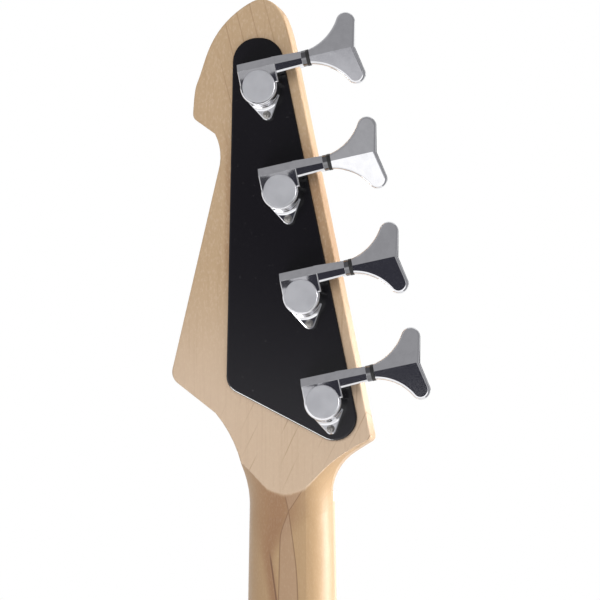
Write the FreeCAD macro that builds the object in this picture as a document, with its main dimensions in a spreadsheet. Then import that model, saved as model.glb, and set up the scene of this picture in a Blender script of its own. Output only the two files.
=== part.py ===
import FreeCAD, Part
import math
import os
import Sketcher
from FreeCAD import Placement, Rotation, Vector

# A four-string electric bass guitar, 34 inch scale, in millimetres.
# Frame: +Z runs up the neck to the head, +Y is the string side, -Y the back, +X the bass side.
# The origin is on the centre line at the nut, on the plane of the fretboard's top.

SIZES = (
    ("scale_length", 863.6, "nut to saddle line"),
    ("fret_count", 20, "frets on the board"),
    ("nut_width", 40.6, "neck width at the nut"),
    ("heel_width", 61.0, "neck width at the end of the board"),
    ("board_overhang", 8.0, "board past the last fret"),
    ("board_thickness", 6.0, "fretboard at its centre"),
    ("board_radius", 305.0, "crown radius of the board"),
    ("neck_depth_nut", 21.0, "board top to neck back at the nut"),
    ("neck_depth_heel", 23.6, "board top to neck back before the heel"),
    ("neck_side", 3.0, "straight side of the neck below the board"),
    ("heel_depth", 25.0, "board top to the flat underside of the heel"),
    ("heel_length", 92.0, "flat heel block"),
    ("heel_blend", 42.0, "blend from neck back to heel block"),
    ("fret_width", 2.6, "fret crown width"),
    ("fret_height", 1.1, "fret crown height"),
    ("fret_tang_width", 0.6, "fret tang in its slot"),
    ("fret_tang_depth", 2.2, "fret tang depth"),
    ("dot_radius", 3.2, "position dot"),
    ("dot_depth", 1.6, "position dot thickness"),
    ("side_dot_radius", 1.1, "side dot"),
    ("nut_thickness", 5.0, "nut along the strings"),
    ("nut_rise", 3.6, "nut top over the board plane"),
    ("nut_string_span", 30.0, "outer strings at the nut"),
    ("bridge_string_span", 57.0, "outer strings at the saddles"),
    ("string_lift_nut", 1.6, "underside of the strings over the board plane at the nut"),
    ("string_lift_saddle", 3.9, "underside of the strings over the board plane at the saddles"),
    ("gauge_e", 2.67, "lowest string"),
    ("gauge_a", 2.16, "second string"),
    ("gauge_d", 1.65, "third string"),
    ("gauge_g", 1.14, "highest string"),
    ("string_bend", 60.0, "bend radius of a string over nut and saddle"),
    ("winding_gap", 0.55, "space between the turns on a post"),
    ("winding_turns", 2.5, "turns on each post"),
    ("head_drop", 7.0, "board plane to the front face of the head"),
    ("head_thickness", 16.0, "head"),
    ("head_round", 1.0, "rounding of the head's edges"),
    ("throat_radius", 60.0, "radius of the scoop behind the nut"),
    ("tip_corner", 3.0, "rounding of the head's lower bass corner"),
    ("shoulder_corner", 7.0, "rounding of the head's lower treble corner"),
    ("hook_corner", 4.0, "rounding of the hook on the treble side"),
    ("plate_thickness", 2.0, "black plate behind the head"),
    ("plate_round", 0.9, "rounded edge of that plate"),
    ("plate_top_corner", 11.8, "plate's upper corners"),
    ("plate_foot_corner", 11.0, "plate's lower bass corner"),
    ("plate_side_corner", 8.5, "plate's lower treble corner"),
    ("post_rise", 48.0, "nut to the first string post, up the neck"),
    ("post_side", 20.0, "first string post off the centre line"),
    ("post_pitch", 51.76, "post to post"),
    ("post_angle", 11.6, "lean of the post line, degrees"),
    ("post_hole", 7.0, "hole radius in the head"),
    ("post_journal", 4.0, "post radius in the housing"),
    ("post_barrel", 5.0, "post radius in the bushing"),
    ("post_waist", 5.0, "post radius under the string"),
    ("post_rim", 6.3, "post radius at its rims"),
    ("post_waist_length", 12.6, "string room on the post"),
    ("post_rim_height", 2.6, "upper rim"),
    ("post_slot", 3.0, "slot across the post"),
    ("post_slot_depth", 9.0, "slot depth"),
    ("post_bore", 1.7, "hole radius down the post"),
    ("bushing_head", 3.5, "bushing's hexagon height"),
    ("bushing_flats", 17.0, "bushing's hexagon across flats"),
    ("bushing_sleeve", 12.0, "bushing's sleeve in the head"),
    ("running_gap", 0.08, "radial clearance of a turning fit"),
    ("seat_gap", 0.05, "radial clearance of a fixed fit"),
    ("clear_gap", 0.3, "clearance between moving pieces"),
    ("housing_height", 10.6, "tuner housing over the plate"),
    ("housing_back", 8.9, "housing inward of the post axis"),
    ("housing_front", 9.85, "housing outward of the post axis"),
    ("housing_top", 13.0, "housing above the post axis"),
    ("housing_round", 9.0, "housing radius round the cap"),
    ("housing_shift", 0.2, "housing's round wall inward of the post axis"),
    ("housing_flare", 0.4, "how far the lower wall leans out to the lug"),
    ("housing_cove", 1.9, "hollow between the lower wall and the lug"),
    ("housing_edge", 0.6, "rounding of the housing's rim"),
    ("housing_floor", 2.6, "housing floor"),
    ("facet_drop", 2.9, "fall of the slanted facet over the worm"),
    ("lug_reach", 13.2, "post axis to lug screw"),
    ("lug_tip", 2.6, "lug tip radius"),
    ("lug_thickness", 3.0, "lug"),
    ("lug_bevel", 0.4, "bevel round the lug"),
    ("lug_spread", 0.2, "lug's sides outside the wall's round"),
    ("cap_radius", 8.0, "cap disc"),
    ("cap_thickness", 1.4, "cap disc"),
    ("cap_proud", 0.4, "cap over the housing"),
    ("barrel_length", 13.15, "worm barrel past the housing"),
    ("barrel_root", 4.3, "barrel half width at the housing"),
    ("barrel_end", 3.6, "barrel half width at the collar"),
    ("collar_radius", 3.9, "collar on the barrel"),
    ("collar_length", 2.2, "collar"),
    ("washer_radius", 4.0, "black washer"),
    ("washer_thickness", 1.5, "black washer"),
    ("worm_height", 6.0, "worm axis over the plate"),
    ("worm_pitch_radius", 2.5, "worm"),
    ("worm_tip", 0.55, "thread above the pitch radius"),
    ("worm_root", 0.65, "thread below the pitch radius"),
    ("worm_turns", 5, "turns of the worm thread"),
    ("worm_run_out", 1.5, "plain core past each end of the thread"),
    ("worm_shaft", 2.0, "worm shaft radius"),
    ("worm_tail", 1.5, "tail journal radius"),
    ("worm_tail_length", 1.2, "tail journal"),
    ("wheel_teeth", 20, "teeth on the worm wheel, one turn of the post per that many of the key"),
    ("wheel_pitch_radius", 6.4, "worm wheel"),
    ("wheel_thickness", 5.2, "worm wheel"),
    ("wheel_seat", 3.0, "post radius in the wheel"),
    ("tooth_share", 0.36, "half a tooth at the pitch line"),
    ("tooth_flank", 20.0, "flank angle, degrees"),
    ("key_length", 24.5, "key from its washer to its outer edge"),
    ("key_span", 35.2, "key from tip to tip"),
    ("key_notch", 2.5, "depth of the outer edge at the crease"),
    ("key_stem", 3.7, "half width of the key at its washer"),
    ("key_crease", 2.95, "half thickness along the crease"),
    ("key_rim", 1.5, "half thickness at the tips"),
    ("key_round", 1.3, "rounded rim of the key"),
    ("key_socket", 5.5, "depth of the shaft's socket in the key"),
    ("tuner_screw_shank", 1.2, "lug screw"),
    ("tuner_screw_length", 14.0, "lug screw"),
    ("tuner_screw_head", 2.0, "lug screw head radius"),
    ("tuner_screw_dome", 1.3, "lug screw head height"),
    ("tree_rise", 78.0, "nut to the string tree"),
    ("tree_press", 1.5, "strings below the board plane at the tree"),
    ("rod_depth", 13.0, "truss rod axis below the board plane"),
    ("rod_radius", 2.5, "truss rod"),
    ("rod_anchor", 4.4, "anchor radius at the heel"),
    ("rod_nut_radius", 4.0, "adjusting nut"),
    ("rod_nut_length", 12.0, "adjusting nut"),
    ("rod_key", 2.0, "half width of the nut's hexagon socket"),
    ("rod_pocket", 11.0, "width of the pocket for the nut"),
    ("body_drop", 9.0, "board plane to body top"),
    ("body_thickness", 44.0, "body"),
    ("body_round", 9.0, "rounding of the body's edges"),
    ("body_half_width", 162.0, "lower bout, half width"),
    ("body_tail", 84.0, "saddle line to the end of the body"),
    ("horn_reach", 159.0, "upper horn past the end of the board"),
    ("cutaway_rise", 75.0, "end of the board to the body's edge beside the neck"),
    ("short_horn_reach", 103.0, "lower horn past the end of the board"),
    ("pocket_gap", 0.2, "heel clearance in its pocket"),
    ("neck_plate_width", 50.0, "neck plate"),
    ("neck_plate_length", 58.0, "neck plate"),
    ("neck_plate_thickness", 2.0, "neck plate"),
    ("neck_plate_drop", 35.0, "middle of the neck plate above the end of the board"),
    ("neck_screw_side", 18.0, "neck screws off the centre line"),
    ("neck_screw_along", 22.0, "neck screws off the plate's middle"),
    ("neck_screw_shank", 2.3, "neck screw"),
    ("neck_screw_length", 45.0, "neck screw"),
    ("guard_thickness", 2.5, "pickguard"),
    ("guard_gap", 0.6, "space round pickups and neck in the pickguard"),
    ("guard_screw_shank", 1.4, "pickguard screw"),
    ("guard_screw_length", 13.0, "pickguard screw"),
    ("guard_screw_head", 3.0, "pickguard screw head radius"),
    ("pickup_middle", 139.0, "saddle line to the middle of the split pickup"),
    ("pickup_stagger", 15.0, "each half off that middle"),
    ("pickup_width", 54.0, "one half across the strings"),
    ("pickup_length", 27.0, "one half along the strings"),
    ("pickup_height", 19.0, "cover height"),
    ("pickup_top", 0.4, "cover top below the board plane"),
    ("pickup_wall", 1.6, "cover wall"),
    ("pickup_corner", 5.0, "cover corner"),
    ("pole_radius", 2.4, "pole piece"),
    ("pole_offset", 4.6, "pole pieces off their string"),
    ("pole_proud", 0.8, "pole over the cover"),
    ("cavity_depth", 36.0, "control cavity"),
    ("volume_inset", 80.0, "volume control in from the lower bout's half width"),
    ("volume_rise", 101.0, "saddle line to the volume control"),
    ("tone_inset", 64.0, "tone control in from the lower bout's half width"),
    ("tone_rise", 51.0, "saddle line to the tone control"),
    ("jack_inset", 67.0, "output jack in from the lower bout's half width"),
    ("jack_rise", 14.0, "saddle line to the output jack"),
    ("pot_radius", 12.0, "potentiometer can"),
    ("pot_depth", 10.0, "potentiometer can"),
    ("bush_radius", 4.7, "threaded bush of potentiometers and jack"),
    ("bush_height", 7.5, "threaded bush above the pickguard's underside"),
    ("pot_shaft", 3.0, "potentiometer shaft radius"),
    ("pot_shaft_reach", 17.0, "shaft above the pickguard's underside"),
    ("panel_nut_flats", 14.0, "nuts of potentiometers and jack"),
    ("panel_nut_height", 2.2, "nuts of potentiometers and jack"),
    ("knob_radius", 9.6, "knob"),
    ("knob_height", 16.0, "knob"),
    ("knob_lift", 0.6, "knob over the pickguard"),
    ("jack_bore", 3.25, "bore radius for a quarter inch plug"),
    ("jack_depth", 14.0, "jack sleeve below the pickguard's top"),
    ("bridge_width", 82.0, "bridge plate"),
    ("bridge_front", 16.0, "bridge plate ahead of the saddle line"),
    ("bridge_length", 60.0, "bridge plate"),
    ("bridge_thickness", 3.0, "bridge plate"),
    ("bridge_screw_back", 48.0, "row of bridge screws behind the plate's front edge"),
    ("bridge_wall", 3.2, "upright wall at the back of the bridge"),
    ("bridge_wall_height", 16.0, "that wall over the body"),
    ("bridge_corner", 4.0, "bridge corners"),
    ("saddle_width", 17.4, "saddle across the strings"),
    ("saddle_length", 14.0, "saddle along the strings"),
    ("saddle_crest", 1.0, "saddle sides above the string's underside"),
    ("saddle_travel", 8.0, "saddle travel towards the nut"),
    ("saddle_step", 1.4, "added string length from each string to the next lower one"),
    ("saddle_screw", 1.5, "height and intonation screw radius"),
    ("saddle_screw_axis", 3.2, "intonation screw below the board plane"),
    ("saddle_screw_head", 2.2, "intonation screw head radius"),
    ("ball_radius", 2.4, "ball end of a string"),
    ("ball_drop", 2.6, "ball end over the board plane"),
    ("strap_button_radius", 8.0, "strap button flange"),
    ("strap_button_waist", 4.5, "strap button waist"),
    ("strap_button_height", 12.0, "strap button"),
    ("strap_screw_length", 34.0, "strap button screw"),
    ("wood_screw_shank", 2.0, "bridge and strap button screws"),
    ("bridge_screw_length", 22.0, "bridge screw"),
    ("wood_screw_head", 3.8, "bridge and strap button screw head radius"),
    ("lead_radius", 0.9, "insulated lead"),
)


class Size:
    """A number together with the expression that ties it to the spreadsheet."""

    def __init__(self, value, text):
        self.value = value
        self.text = text

    def __add__(self, other):
        other = as_size(other)
        return Size(self.value + other.value, "(%s + %s)" % (self.text, other.text))

    def __sub__(self, other):
        other = as_size(other)
        return Size(self.value - other.value, "(%s - %s)" % (self.text, other.text))

    def __mul__(self, other):
        other = as_size(other)
        return Size(self.value * other.value, "(%s * %s)" % (self.text, other.text))

    def __truediv__(self, other):
        other = as_size(other)
        return Size(self.value / other.value, "(%s / %s)" % (self.text, other.text))

    def __neg__(self):
        return Size(-self.value, "(0 - %s)" % self.text)

    __radd__ = __add__
    __rmul__ = __mul__

    def __rsub__(self, other):
        return as_size(other) - self


def as_size(number):
    if isinstance(number, Size):
        return number
    return Size(float(number), repr(float(number)))


doc = FreeCAD.newDocument("bass_guitar")
sheet = doc.addObject("Spreadsheet::Sheet", "Sizes")
for row, (alias, number, note) in enumerate(SIZES, start=1):
    sheet.set("A%d" % row, alias)
    sheet.set("B%d" % row, str(number))
    sheet.set("C%d" % row, note)
    sheet.setAlias("B%d" % row, alias)
doc.recompute()


def mm(alias):
    """The plain number in a cell of the sheet."""
    return float(sheet.get(alias))


def cell(alias):
    """The number in a cell, with its expression."""
    return Size(mm(alias), "Sizes.%s" % alias)


pieces = []


def keep(piece):
    """Puts a finished piece on the list of exported ones."""
    pieces.append(piece)
    return piece


# Sketches and PartDesign features


def new_body(label, placement=None):
    body = doc.addObject("PartDesign::Body", label)
    body.Label = label
    if placement is not None:
        body.Placement = placement
    return body


def sketch_on(body, name, role, lift=None):
    """A sketch on one of the body's own origin planes, lifted along its normal."""
    sketch = body.newObject("Sketcher::SketchObject", name)
    planes = [plane for plane in body.Origin.OriginFeatures if plane.Role == role]
    sketch.AttachmentSupport = [(planes[0], "")]
    sketch.MapMode = "FlatFace"
    if lift is not None:
        lift = as_size(lift)
        sketch.AttachmentOffset = Placement(Vector(0, 0, lift.value), Rotation())
        sketch.setExpression(".AttachmentOffset.Base.z", lift.text)
    return sketch


def pin_point(sketch, geometry, end, place):
    for kind, coordinate in zip(("DistanceX", "DistanceY"), place):
        constraint = Sketcher.Constraint(kind, -1, 1, geometry, end, coordinate.value)
        index = sketch.addConstraint(constraint)
        sketch.setExpression("Constraints[%d]" % index, coordinate.text)


def draw_polygon(sketch, corners):
    corners = [(as_size(x), as_size(y)) for x, y in corners]
    spots = [Vector(x.value, y.value, 0) for x, y in corners]
    first = sketch.GeometryCount
    count = len(spots)
    for index in range(count):
        sketch.addGeometry(Part.LineSegment(spots[index], spots[(index + 1) % count]))
    for index in range(count):
        following = first + (index + 1) % count
        sketch.addConstraint(Sketcher.Constraint("Coincident", first + index, 2, following, 1))
    for index, place in enumerate(corners):
        pin_point(sketch, first + index, 1, place)


def draw_circle(sketch, across, up, radius):
    place = (as_size(across), as_size(up))
    radius = as_size(radius)
    circle = Part.Circle(Vector(place[0].value, place[1].value, 0), Vector(0, 0, 1), radius.value)
    geometry = sketch.addGeometry(circle)
    pin_point(sketch, geometry, 3, place)
    index = sketch.addConstraint(Sketcher.Constraint("Radius", geometry, radius.value))
    sketch.setExpression("Constraints[%d]" % index, radius.text)


def pad(body, sketch, length):
    length = as_size(length)
    feature = body.newObject("PartDesign::Pad", sketch.Name + "_pad")
    feature.Profile = sketch
    feature.Length = length.value
    feature.setExpression("Length", length.text)
    return feature


def pocket(body, sketch, depth=None):
    """Cuts down from the sketch, or right through when no depth is given."""
    doc.recompute()
    before = body.Tip.Shape.Volume
    feature = body.newObject("PartDesign::Pocket", sketch.Name + "_cut")
    feature.Profile = sketch
    if depth is None:
        feature.Type = "ThroughAll"
        feature.SideType = "Symmetric"
    else:
        depth = as_size(depth)
        feature.Length = depth.value
        feature.setExpression("Length", depth.text)
    doc.recompute()
    if feature.Shape.Volume >= before:
        raise RuntimeError("%s cuts nothing" % feature.Name)
    return feature


def revolve(body, sketch):
    feature = body.newObject("PartDesign::Revolution", sketch.Name + "_turn")
    feature.Profile = sketch
    feature.ReferenceAxis = (sketch, ["V_Axis"])
    feature.Angle = 360.0
    return feature


def round_edges(body, name, radius, chosen):
    """Rounds the edges of the body's last feature that the function chosen accepts."""
    doc.recompute()
    base = body.Tip
    edges = ["Edge%d" % (i + 1) for i, edge in enumerate(base.Shape.Edges) if chosen(edge)]
    if not edges:
        raise RuntimeError("%s finds no edge" % name)
    feature = body.newObject("PartDesign::Fillet", name)
    feature.Base = (base, edges)
    feature.Radius = radius.value
    feature.setExpression("Radius", radius.text)
    return feature


def turned(label, profile, placement=None):
    """A turned piece: profile holds (radius, height) corners, turned about the local Z axis."""
    body = new_body(label, placement)
    sketch = sketch_on(body, label + "_profile", "XZ_Plane")
    draw_polygon(sketch, profile)
    revolve(body, sketch)
    return body


def hexagon(flats):
    """Corners of a hexagon with its flats that far apart."""
    corner = flats / math.sqrt(3.0)
    turns = [math.radians(60 * step) for step in range(6)]
    return [(corner * math.cos(turn), corner * math.sin(turn)) for turn in turns]


def upright(edge):
    """True for an edge along the local Z axis."""
    ends = [vertex.Point for vertex in edge.Vertexes]
    if len(ends) != 2:
        return False
    side = ends[1] - ends[0]
    return abs(side.z) > 0.01 and math.hypot(side.x, side.y) < 0.001


def level_at(height):
    """A test for edges that lie wholly at one height."""

    def test(edge):
        box = edge.BoundBox
        return abs(box.ZMin - height) < 0.001 and abs(box.ZMax - height) < 0.001

    return test


# Plain shapes for pieces that are swept, lofted or grouped


def solid_piece(label, shape):
    feature = doc.addObject("Part::Feature", label)
    feature.Label = label
    feature.Shape = shape
    return keep(feature)


def placed(shape, placement):
    copy = shape.copy()
    copy.Placement = placement.multiply(shape.Placement)
    return copy


def group(label, master, placements):
    """One node of identical pieces, each a separate solid."""
    doc.recompute()
    shapes = [placed(master.Shape, placement) for placement in placements]
    return solid_piece(label, Part.makeCompound(shapes))


def rod(start, end, radius):
    along = end - start
    return Part.makeCylinder(radius, along.Length, start, along)


def block(low, high):
    span = high - low
    return Part.makeBox(span.x, span.y, span.z, low)


def prism(points, along):
    """A closed polygon of vectors, extruded."""
    face = Part.Face(Part.makePolygon(list(points) + [points[0]]))
    return face.extrude(along)


def arc_edge(start, middle, end):
    return Part.Arc(start, middle, end).toShape()


def line_edge(start, end):
    return Part.LineSegment(start, end).toShape()


# Frames: the back one looks at the instrument from behind, the front one from the strings

BACK = Rotation(Vector(1, 0, 0), 90)
FRONT = Rotation(Vector(1, 0, 0), -90)


def front_place(x, y, z):
    return Placement(Vector(x, y, z), FRONT)


# Shared places along the instrument

last_fret = mm("scale_length") * (1 - 2 ** (-mm("fret_count") / 12))
board_end = -(last_fret + mm("board_overhang"))
saddle_line = -mm("scale_length")
body_top = -mm("body_drop")
body_back = body_top - mm("body_thickness")
guard_top = body_top + mm("guard_thickness")
head_front = -mm("head_drop")
head_back = head_front - mm("head_thickness")
plate_face = head_back - mm("plate_thickness")
glue_plane = -mm("board_thickness")
heel_floor = -mm("heel_depth")
gauges = [mm("gauge_e"), mm("gauge_a"), mm("gauge_d"), mm("gauge_g")]
fan = [0.5, 1.0 / 6, -1.0 / 6, -0.5]


def half_width(z):
    """Half the width of neck and board at a height z."""
    share = z / board_end
    return (mm("nut_width") + (mm("heel_width") - mm("nut_width")) * share) / 2


def fret_height_at(number):
    return -mm("scale_length") * (1 - 2 ** (-number / 12))


lean = math.radians(mm("post_angle"))
outward = Vector(math.cos(lean), 0, math.sin(lean))
upward = Vector(-math.sin(lean), 0, math.cos(lean))
first_post = Vector(mm("post_side"), 0, mm("post_rise"))
posts = [first_post + upward * (mm("post_pitch") * index) for index in range(4)]
last_post = posts[3]
tuner_turn = BACK.multiply(Rotation(Vector(0, 0, 1), mm("post_angle")))
tuner_places = [Placement(Vector(post.x, plate_face, post.z), tuner_turn) for post in posts]


def near_first(x, z):
    return Vector(first_post.x + x, 0, first_post.z + z)


def near_last(x, z):
    return Vector(last_post.x + x, 0, last_post.z + z)


# Neck and head, one piece of wood


def d_section(z, half, depth, side, lift, fullness):
    """Cross-section of the neck: flat on top, rounded behind."""
    top = glue_plane
    low = -(depth + lift)
    start = Vector(half, top - side - lift * 0.6, z)
    foot = Vector(half * fullness, low + (depth - mm("board_thickness")) * 0.05, z)
    bulge = Vector(half * (0.52 + 0.48 * fullness) + half * 0.1 * (1 - fullness),
                   start.y + (foot.y - start.y) * 0.68, z)
    middle = Vector(0, low, z)
    mirror = [Vector(-p.x, p.y, z) for p in (start, bulge, foot)]
    edges = [
        line_edge(Vector(-half, top, z), Vector(half, top, z)),
        line_edge(Vector(half, top, z), start),
        arc_edge(start, bulge, foot),
        arc_edge(foot, middle, mirror[2]),
        arc_edge(mirror[2], mirror[1], mirror[0]),
        line_edge(mirror[0], Vector(-half, top, z)),
    ]
    return Part.Wire(edges)


ROUND_BACK = 0.45
FULL_BACK = 0.86
SCOOP_START = -11.0
THROAT_LENGTH = 34.0
# The head's slab is rooted in the neck by this much below the scoop
HEAD_ROOT = 14.0
# The scoop's section widens from the flare's start up, by 1 mm over one unit and ever faster above
FLARE_START = -2.0
FLARE_UNIT = 10.0
FLARE_POWER = 2.7
THROAT_STEPS = 15


def scoop_lift(z):
    rise = max(0.0, z - SCOOP_START)
    return rise * rise / (2 * mm("throat_radius"))


def crown_edge(arriving, start, end, leaving):
    """The rounded top of the head, one smooth curve between the bass edge and the hook."""
    arriving.normalize()
    leaving.normalize()
    between = [near_last(10.4, 34.6), near_last(5.9, 41.5), near_last(-1.2, 44.5), near_last(-8.4, 41.9),
               near_last(-21.7, 30.1), near_last(-28.1, 18.4), near_last(-32.1, 6.5)]
    curve = Part.BSplineCurve()
    curve.interpolate(Points=[start] + between + [end], InitialTangent=arriving, FinalTangent=leaving)
    return curve.toShape()


def head_outline():
    """Closed outline of the head, seen from behind, run on below the nut."""
    half = mm("nut_width") / 2
    foot = SCOOP_START - HEAD_ROOT
    bass_flare = Vector(32.2, 0, 24.4)
    bass_corner = near_first(21.9, -17.6)
    bass_top = near_last(15.8, 12.9)
    hook_side = near_last(-34.9, -8.1)
    hook_tip = near_last(-35.2, -13.2)
    notch_top = near_last(-24.2, -21.1)
    notch_foot = near_last(-22.4, -39.1)
    shoulder = near_first(-77.3, 12.2)
    treble_flare = near_first(-55.0, -5.1)
    return Part.Wire([
        line_edge(Vector(half, 0, foot), Vector(half, 0, 4)),
        arc_edge(Vector(half, 0, 4), Vector(half + 3.3, 0, 15.6), bass_flare),
        line_edge(bass_flare, bass_corner),
        line_edge(bass_corner, bass_top),
        crown_edge(bass_top - bass_corner, bass_top, hook_side, hook_tip - hook_side),
        line_edge(hook_side, hook_tip),
        line_edge(hook_tip, notch_top),
        arc_edge(notch_top, near_last(-21.6, -29.6), notch_foot),
        line_edge(notch_foot, shoulder),
        line_edge(shoulder, treble_flare),
        arc_edge(treble_flare, Vector(-half - 4.6, 0, 26.4), Vector(-half, 0, 6)),
        line_edge(Vector(-half, 0, 6), Vector(-half, 0, foot)),
        line_edge(Vector(-half, 0, foot), Vector(half, 0, foot)),
    ])


def across_edge_near(shape, spot):
    """The edge through the slab's thickness that stands at a corner of the outline."""
    for edge in shape.Edges:
        ends = [vertex.Point for vertex in edge.Vertexes]
        if len(ends) == 2 and abs(ends[0].y - ends[1].y) > 1:
            if math.hypot(ends[0].x - spot.x, ends[0].z - spot.z) < 0.01:
                return edge
    raise RuntimeError("no corner of the head near %s" % spot)


def head_slab():
    slab = Part.Face(head_outline()).extrude(Vector(0, -mm("head_thickness"), 0))
    slab.translate(Vector(0, head_front, 0))
    corners = (
        (near_first(21.9, -17.6), mm("tip_corner")),
        (near_first(-77.3, 12.2), mm("shoulder_corner")),
        (near_last(-35.2, -13.2), mm("hook_corner")),
    )
    for spot, radius in corners:
        slab = slab.makeFillet(radius, [across_edge_near(slab, spot)])
    rims = []
    for edge in slab.Edges:
        box = edge.BoundBox
        flat = abs(box.YMax - box.YMin) < 0.001
        if flat and box.ZMax > SCOOP_START - HEAD_ROOT + 1:
            rims.append(edge)
    return slab.makeFillet(mm("head_round"), rims)


def throat_section(z):
    """Outline that the scoop leaves at one height: the neck's own section, sunk and widened."""
    climb = max(0.0, z - FLARE_START) / FLARE_UNIT
    half = mm("nut_width") / 2 + 0.01 + climb ** FLARE_POWER
    return d_section(z, half, mm("neck_depth_nut"), mm("neck_side"), scoop_lift(z), ROUND_BACK)


def throat_cuts():
    """What the scoop takes off the head: straight along the neck's end, then flaring."""
    beyond = 2 * mm("nut_width")
    foot = SCOOP_START - HEAD_ROOT - 1
    step = (THROAT_LENGTH - SCOOP_START) / THROAT_STEPS
    straight = Part.makeLoft([throat_section(foot), throat_section(SCOOP_START)], True, True)
    flared = Part.makeLoft([throat_section(SCOOP_START + step * i) for i in range(THROAT_STEPS + 1)],
                           True, False)
    cuts = []
    for kept, low, high in ((straight, foot, SCOOP_START), (flared, SCOOP_START, THROAT_LENGTH)):
        around = block(Vector(-beyond, head_back - 2, low), Vector(beyond, glue_plane - 0.5, high))
        cuts.append(around.cut(kept))
    return cuts


def neck_shape():
    blend_top = board_end + mm("heel_length") + mm("heel_blend")
    blend_foot = board_end + mm("heel_length")
    shaft = Part.makeLoft([
        d_section(mm("nut_thickness") + 0.5, mm("nut_width") / 2, mm("neck_depth_nut"),
                  mm("neck_side"), 0, ROUND_BACK),
        d_section(blend_top, half_width(blend_top), mm("neck_depth_heel"),
                  mm("neck_side"), 0, ROUND_BACK),
    ], True, True)
    heel_side = mm("heel_depth") - mm("board_thickness") - 4.0
    blend = Part.makeLoft([
        d_section(blend_top, half_width(blend_top), mm("neck_depth_heel"),
                  mm("neck_side"), 0, ROUND_BACK),
        d_section(blend_foot, half_width(blend_foot), mm("heel_depth") + 0.6,
                  heel_side, 0, FULL_BACK),
    ], True, True)
    blend = blend.cut(block(Vector(-60, heel_floor - 20, blend_foot - 1),
                            Vector(60, heel_floor, blend_top + 1)))
    heel = prism([
        Vector(half_width(blend_foot), glue_plane, blend_foot),
        Vector(-half_width(blend_foot), glue_plane, blend_foot),
        Vector(-half_width(board_end), glue_plane, board_end),
        Vector(half_width(board_end), glue_plane, board_end),
    ], Vector(0, heel_floor - glue_plane, 0))
    head = head_slab().cut(throat_cuts())
    wood = shaft.fuse([blend, heel, head]).removeSplitter()
    cuts = []
    for place in tuner_places:
        cuts.append(placed(Part.makeCylinder(mm("post_hole"), mm("head_thickness") + 4,
                                             Vector(0, 0, -mm("head_thickness") - 4)), place))
        cuts.append(placed(Part.makeCylinder(mm("tuner_screw_shank") + mm("seat_gap"),
                                             mm("tuner_screw_length"),
                                             Vector(0, -mm("lug_reach"), -mm("tuner_screw_length"))),
                           place))
    anchor = Vector(0, -mm("rod_depth"), board_end + 12)
    rod_end = Vector(0, -mm("rod_depth"), rod_nut_foot)
    cuts.append(rod(anchor, rod_end, mm("rod_radius") + mm("clear_gap")))
    cuts.append(rod(Vector(0, anchor.y, board_end - 1), anchor + Vector(0, 0, 8 + mm("clear_gap")),
                    mm("rod_anchor") + mm("clear_gap")))
    half = mm("rod_pocket") / 2
    pocket_foot = Vector(0, head_front + 1, rod_nut_foot - 2)
    pocket_top = Vector(0, head_front + 1, rod_nut_foot + mm("rod_nut_length") + 12)
    deep = Vector(0, -(mm("rod_depth") + half + head_front + 1), 0)
    cuts.append(block(Vector(-half, pocket_foot.y + deep.y, pocket_foot.z),
                      Vector(half, pocket_foot.y, pocket_top.z)))
    cuts.append(Part.makeCylinder(half, -deep.y, pocket_top, Vector(0, -1, 0)))
    for x, z in neck_screw_spots:
        cuts.append(rod(Vector(x, heel_floor - 1, z), Vector(x, neck_screw_tip + 0.5, z),
                        mm("neck_screw_shank") + mm("seat_gap")))
    cuts.append(rod(Vector(tree_spot.x, head_front + 1, tree_spot.z),
                    Vector(tree_spot.x, head_front - 10, tree_spot.z),
                    mm("tuner_screw_shank") + mm("seat_gap")))
    return wood.cut(cuts)


rod_nut_foot = 10.0
neck_plate_middle = board_end + mm("neck_plate_drop")
neck_screw_spots = [
    (side * mm("neck_screw_side"), neck_plate_middle + along * mm("neck_screw_along"))
    for side in (1, -1)
    for along in (1, -1)
]
neck_screw_tip = body_back - mm("neck_plate_thickness") + mm("neck_screw_length")
tree_spot = Vector(-11.0, 0, mm("tree_rise"))

solid_piece("neck", neck_shape())


# Fretboard with its frets and dots


def board_blank():
    outline = [
        Vector(half_width(0), glue_plane, 0),
        Vector(-half_width(0), glue_plane, 0),
        Vector(-half_width(board_end), glue_plane, board_end),
        Vector(half_width(board_end), glue_plane, board_end),
    ]
    slab = prism(outline, Vector(0, mm("board_thickness") + 1, 0))
    crown = Part.makeCylinder(mm("board_radius"), -board_end + 2,
                              Vector(0, -mm("board_radius"), board_end - 1))
    return slab.common(crown)


def fret_profile(z):
    """Crown and tang of a fret in the plane of the centre line, swung round the board's axis."""
    half = mm("fret_width") / 2
    tang = mm("fret_tang_width") / 2
    top = mm("fret_height")
    deep = -mm("fret_tang_depth")
    return Part.Face(Part.Wire([
        line_edge(Vector(0, deep, z - tang), Vector(0, deep, z + tang)),
        line_edge(Vector(0, deep, z + tang), Vector(0, 0, z + tang)),
        line_edge(Vector(0, 0, z + tang), Vector(0, 0, z + half)),
        arc_edge(Vector(0, 0, z + half), Vector(0, top, z), Vector(0, 0, z - half)),
        line_edge(Vector(0, 0, z - half), Vector(0, 0, z - tang)),
        line_edge(Vector(0, 0, z - tang), Vector(0, deep, z - tang)),
    ]))


def fret_shape(z):
    swing = math.degrees(math.asin(half_width(z) / mm("board_radius")))
    axis_spot = Vector(0, -mm("board_radius"), 0)
    face = fret_profile(z)
    face.rotate(axis_spot, Vector(0, 0, 1), -swing)
    return face.revolve(axis_spot, Vector(0, 0, 1), 2 * swing)


DOT_FRETS = (3, 5, 7, 9, 12, 15, 17, 19)


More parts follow.
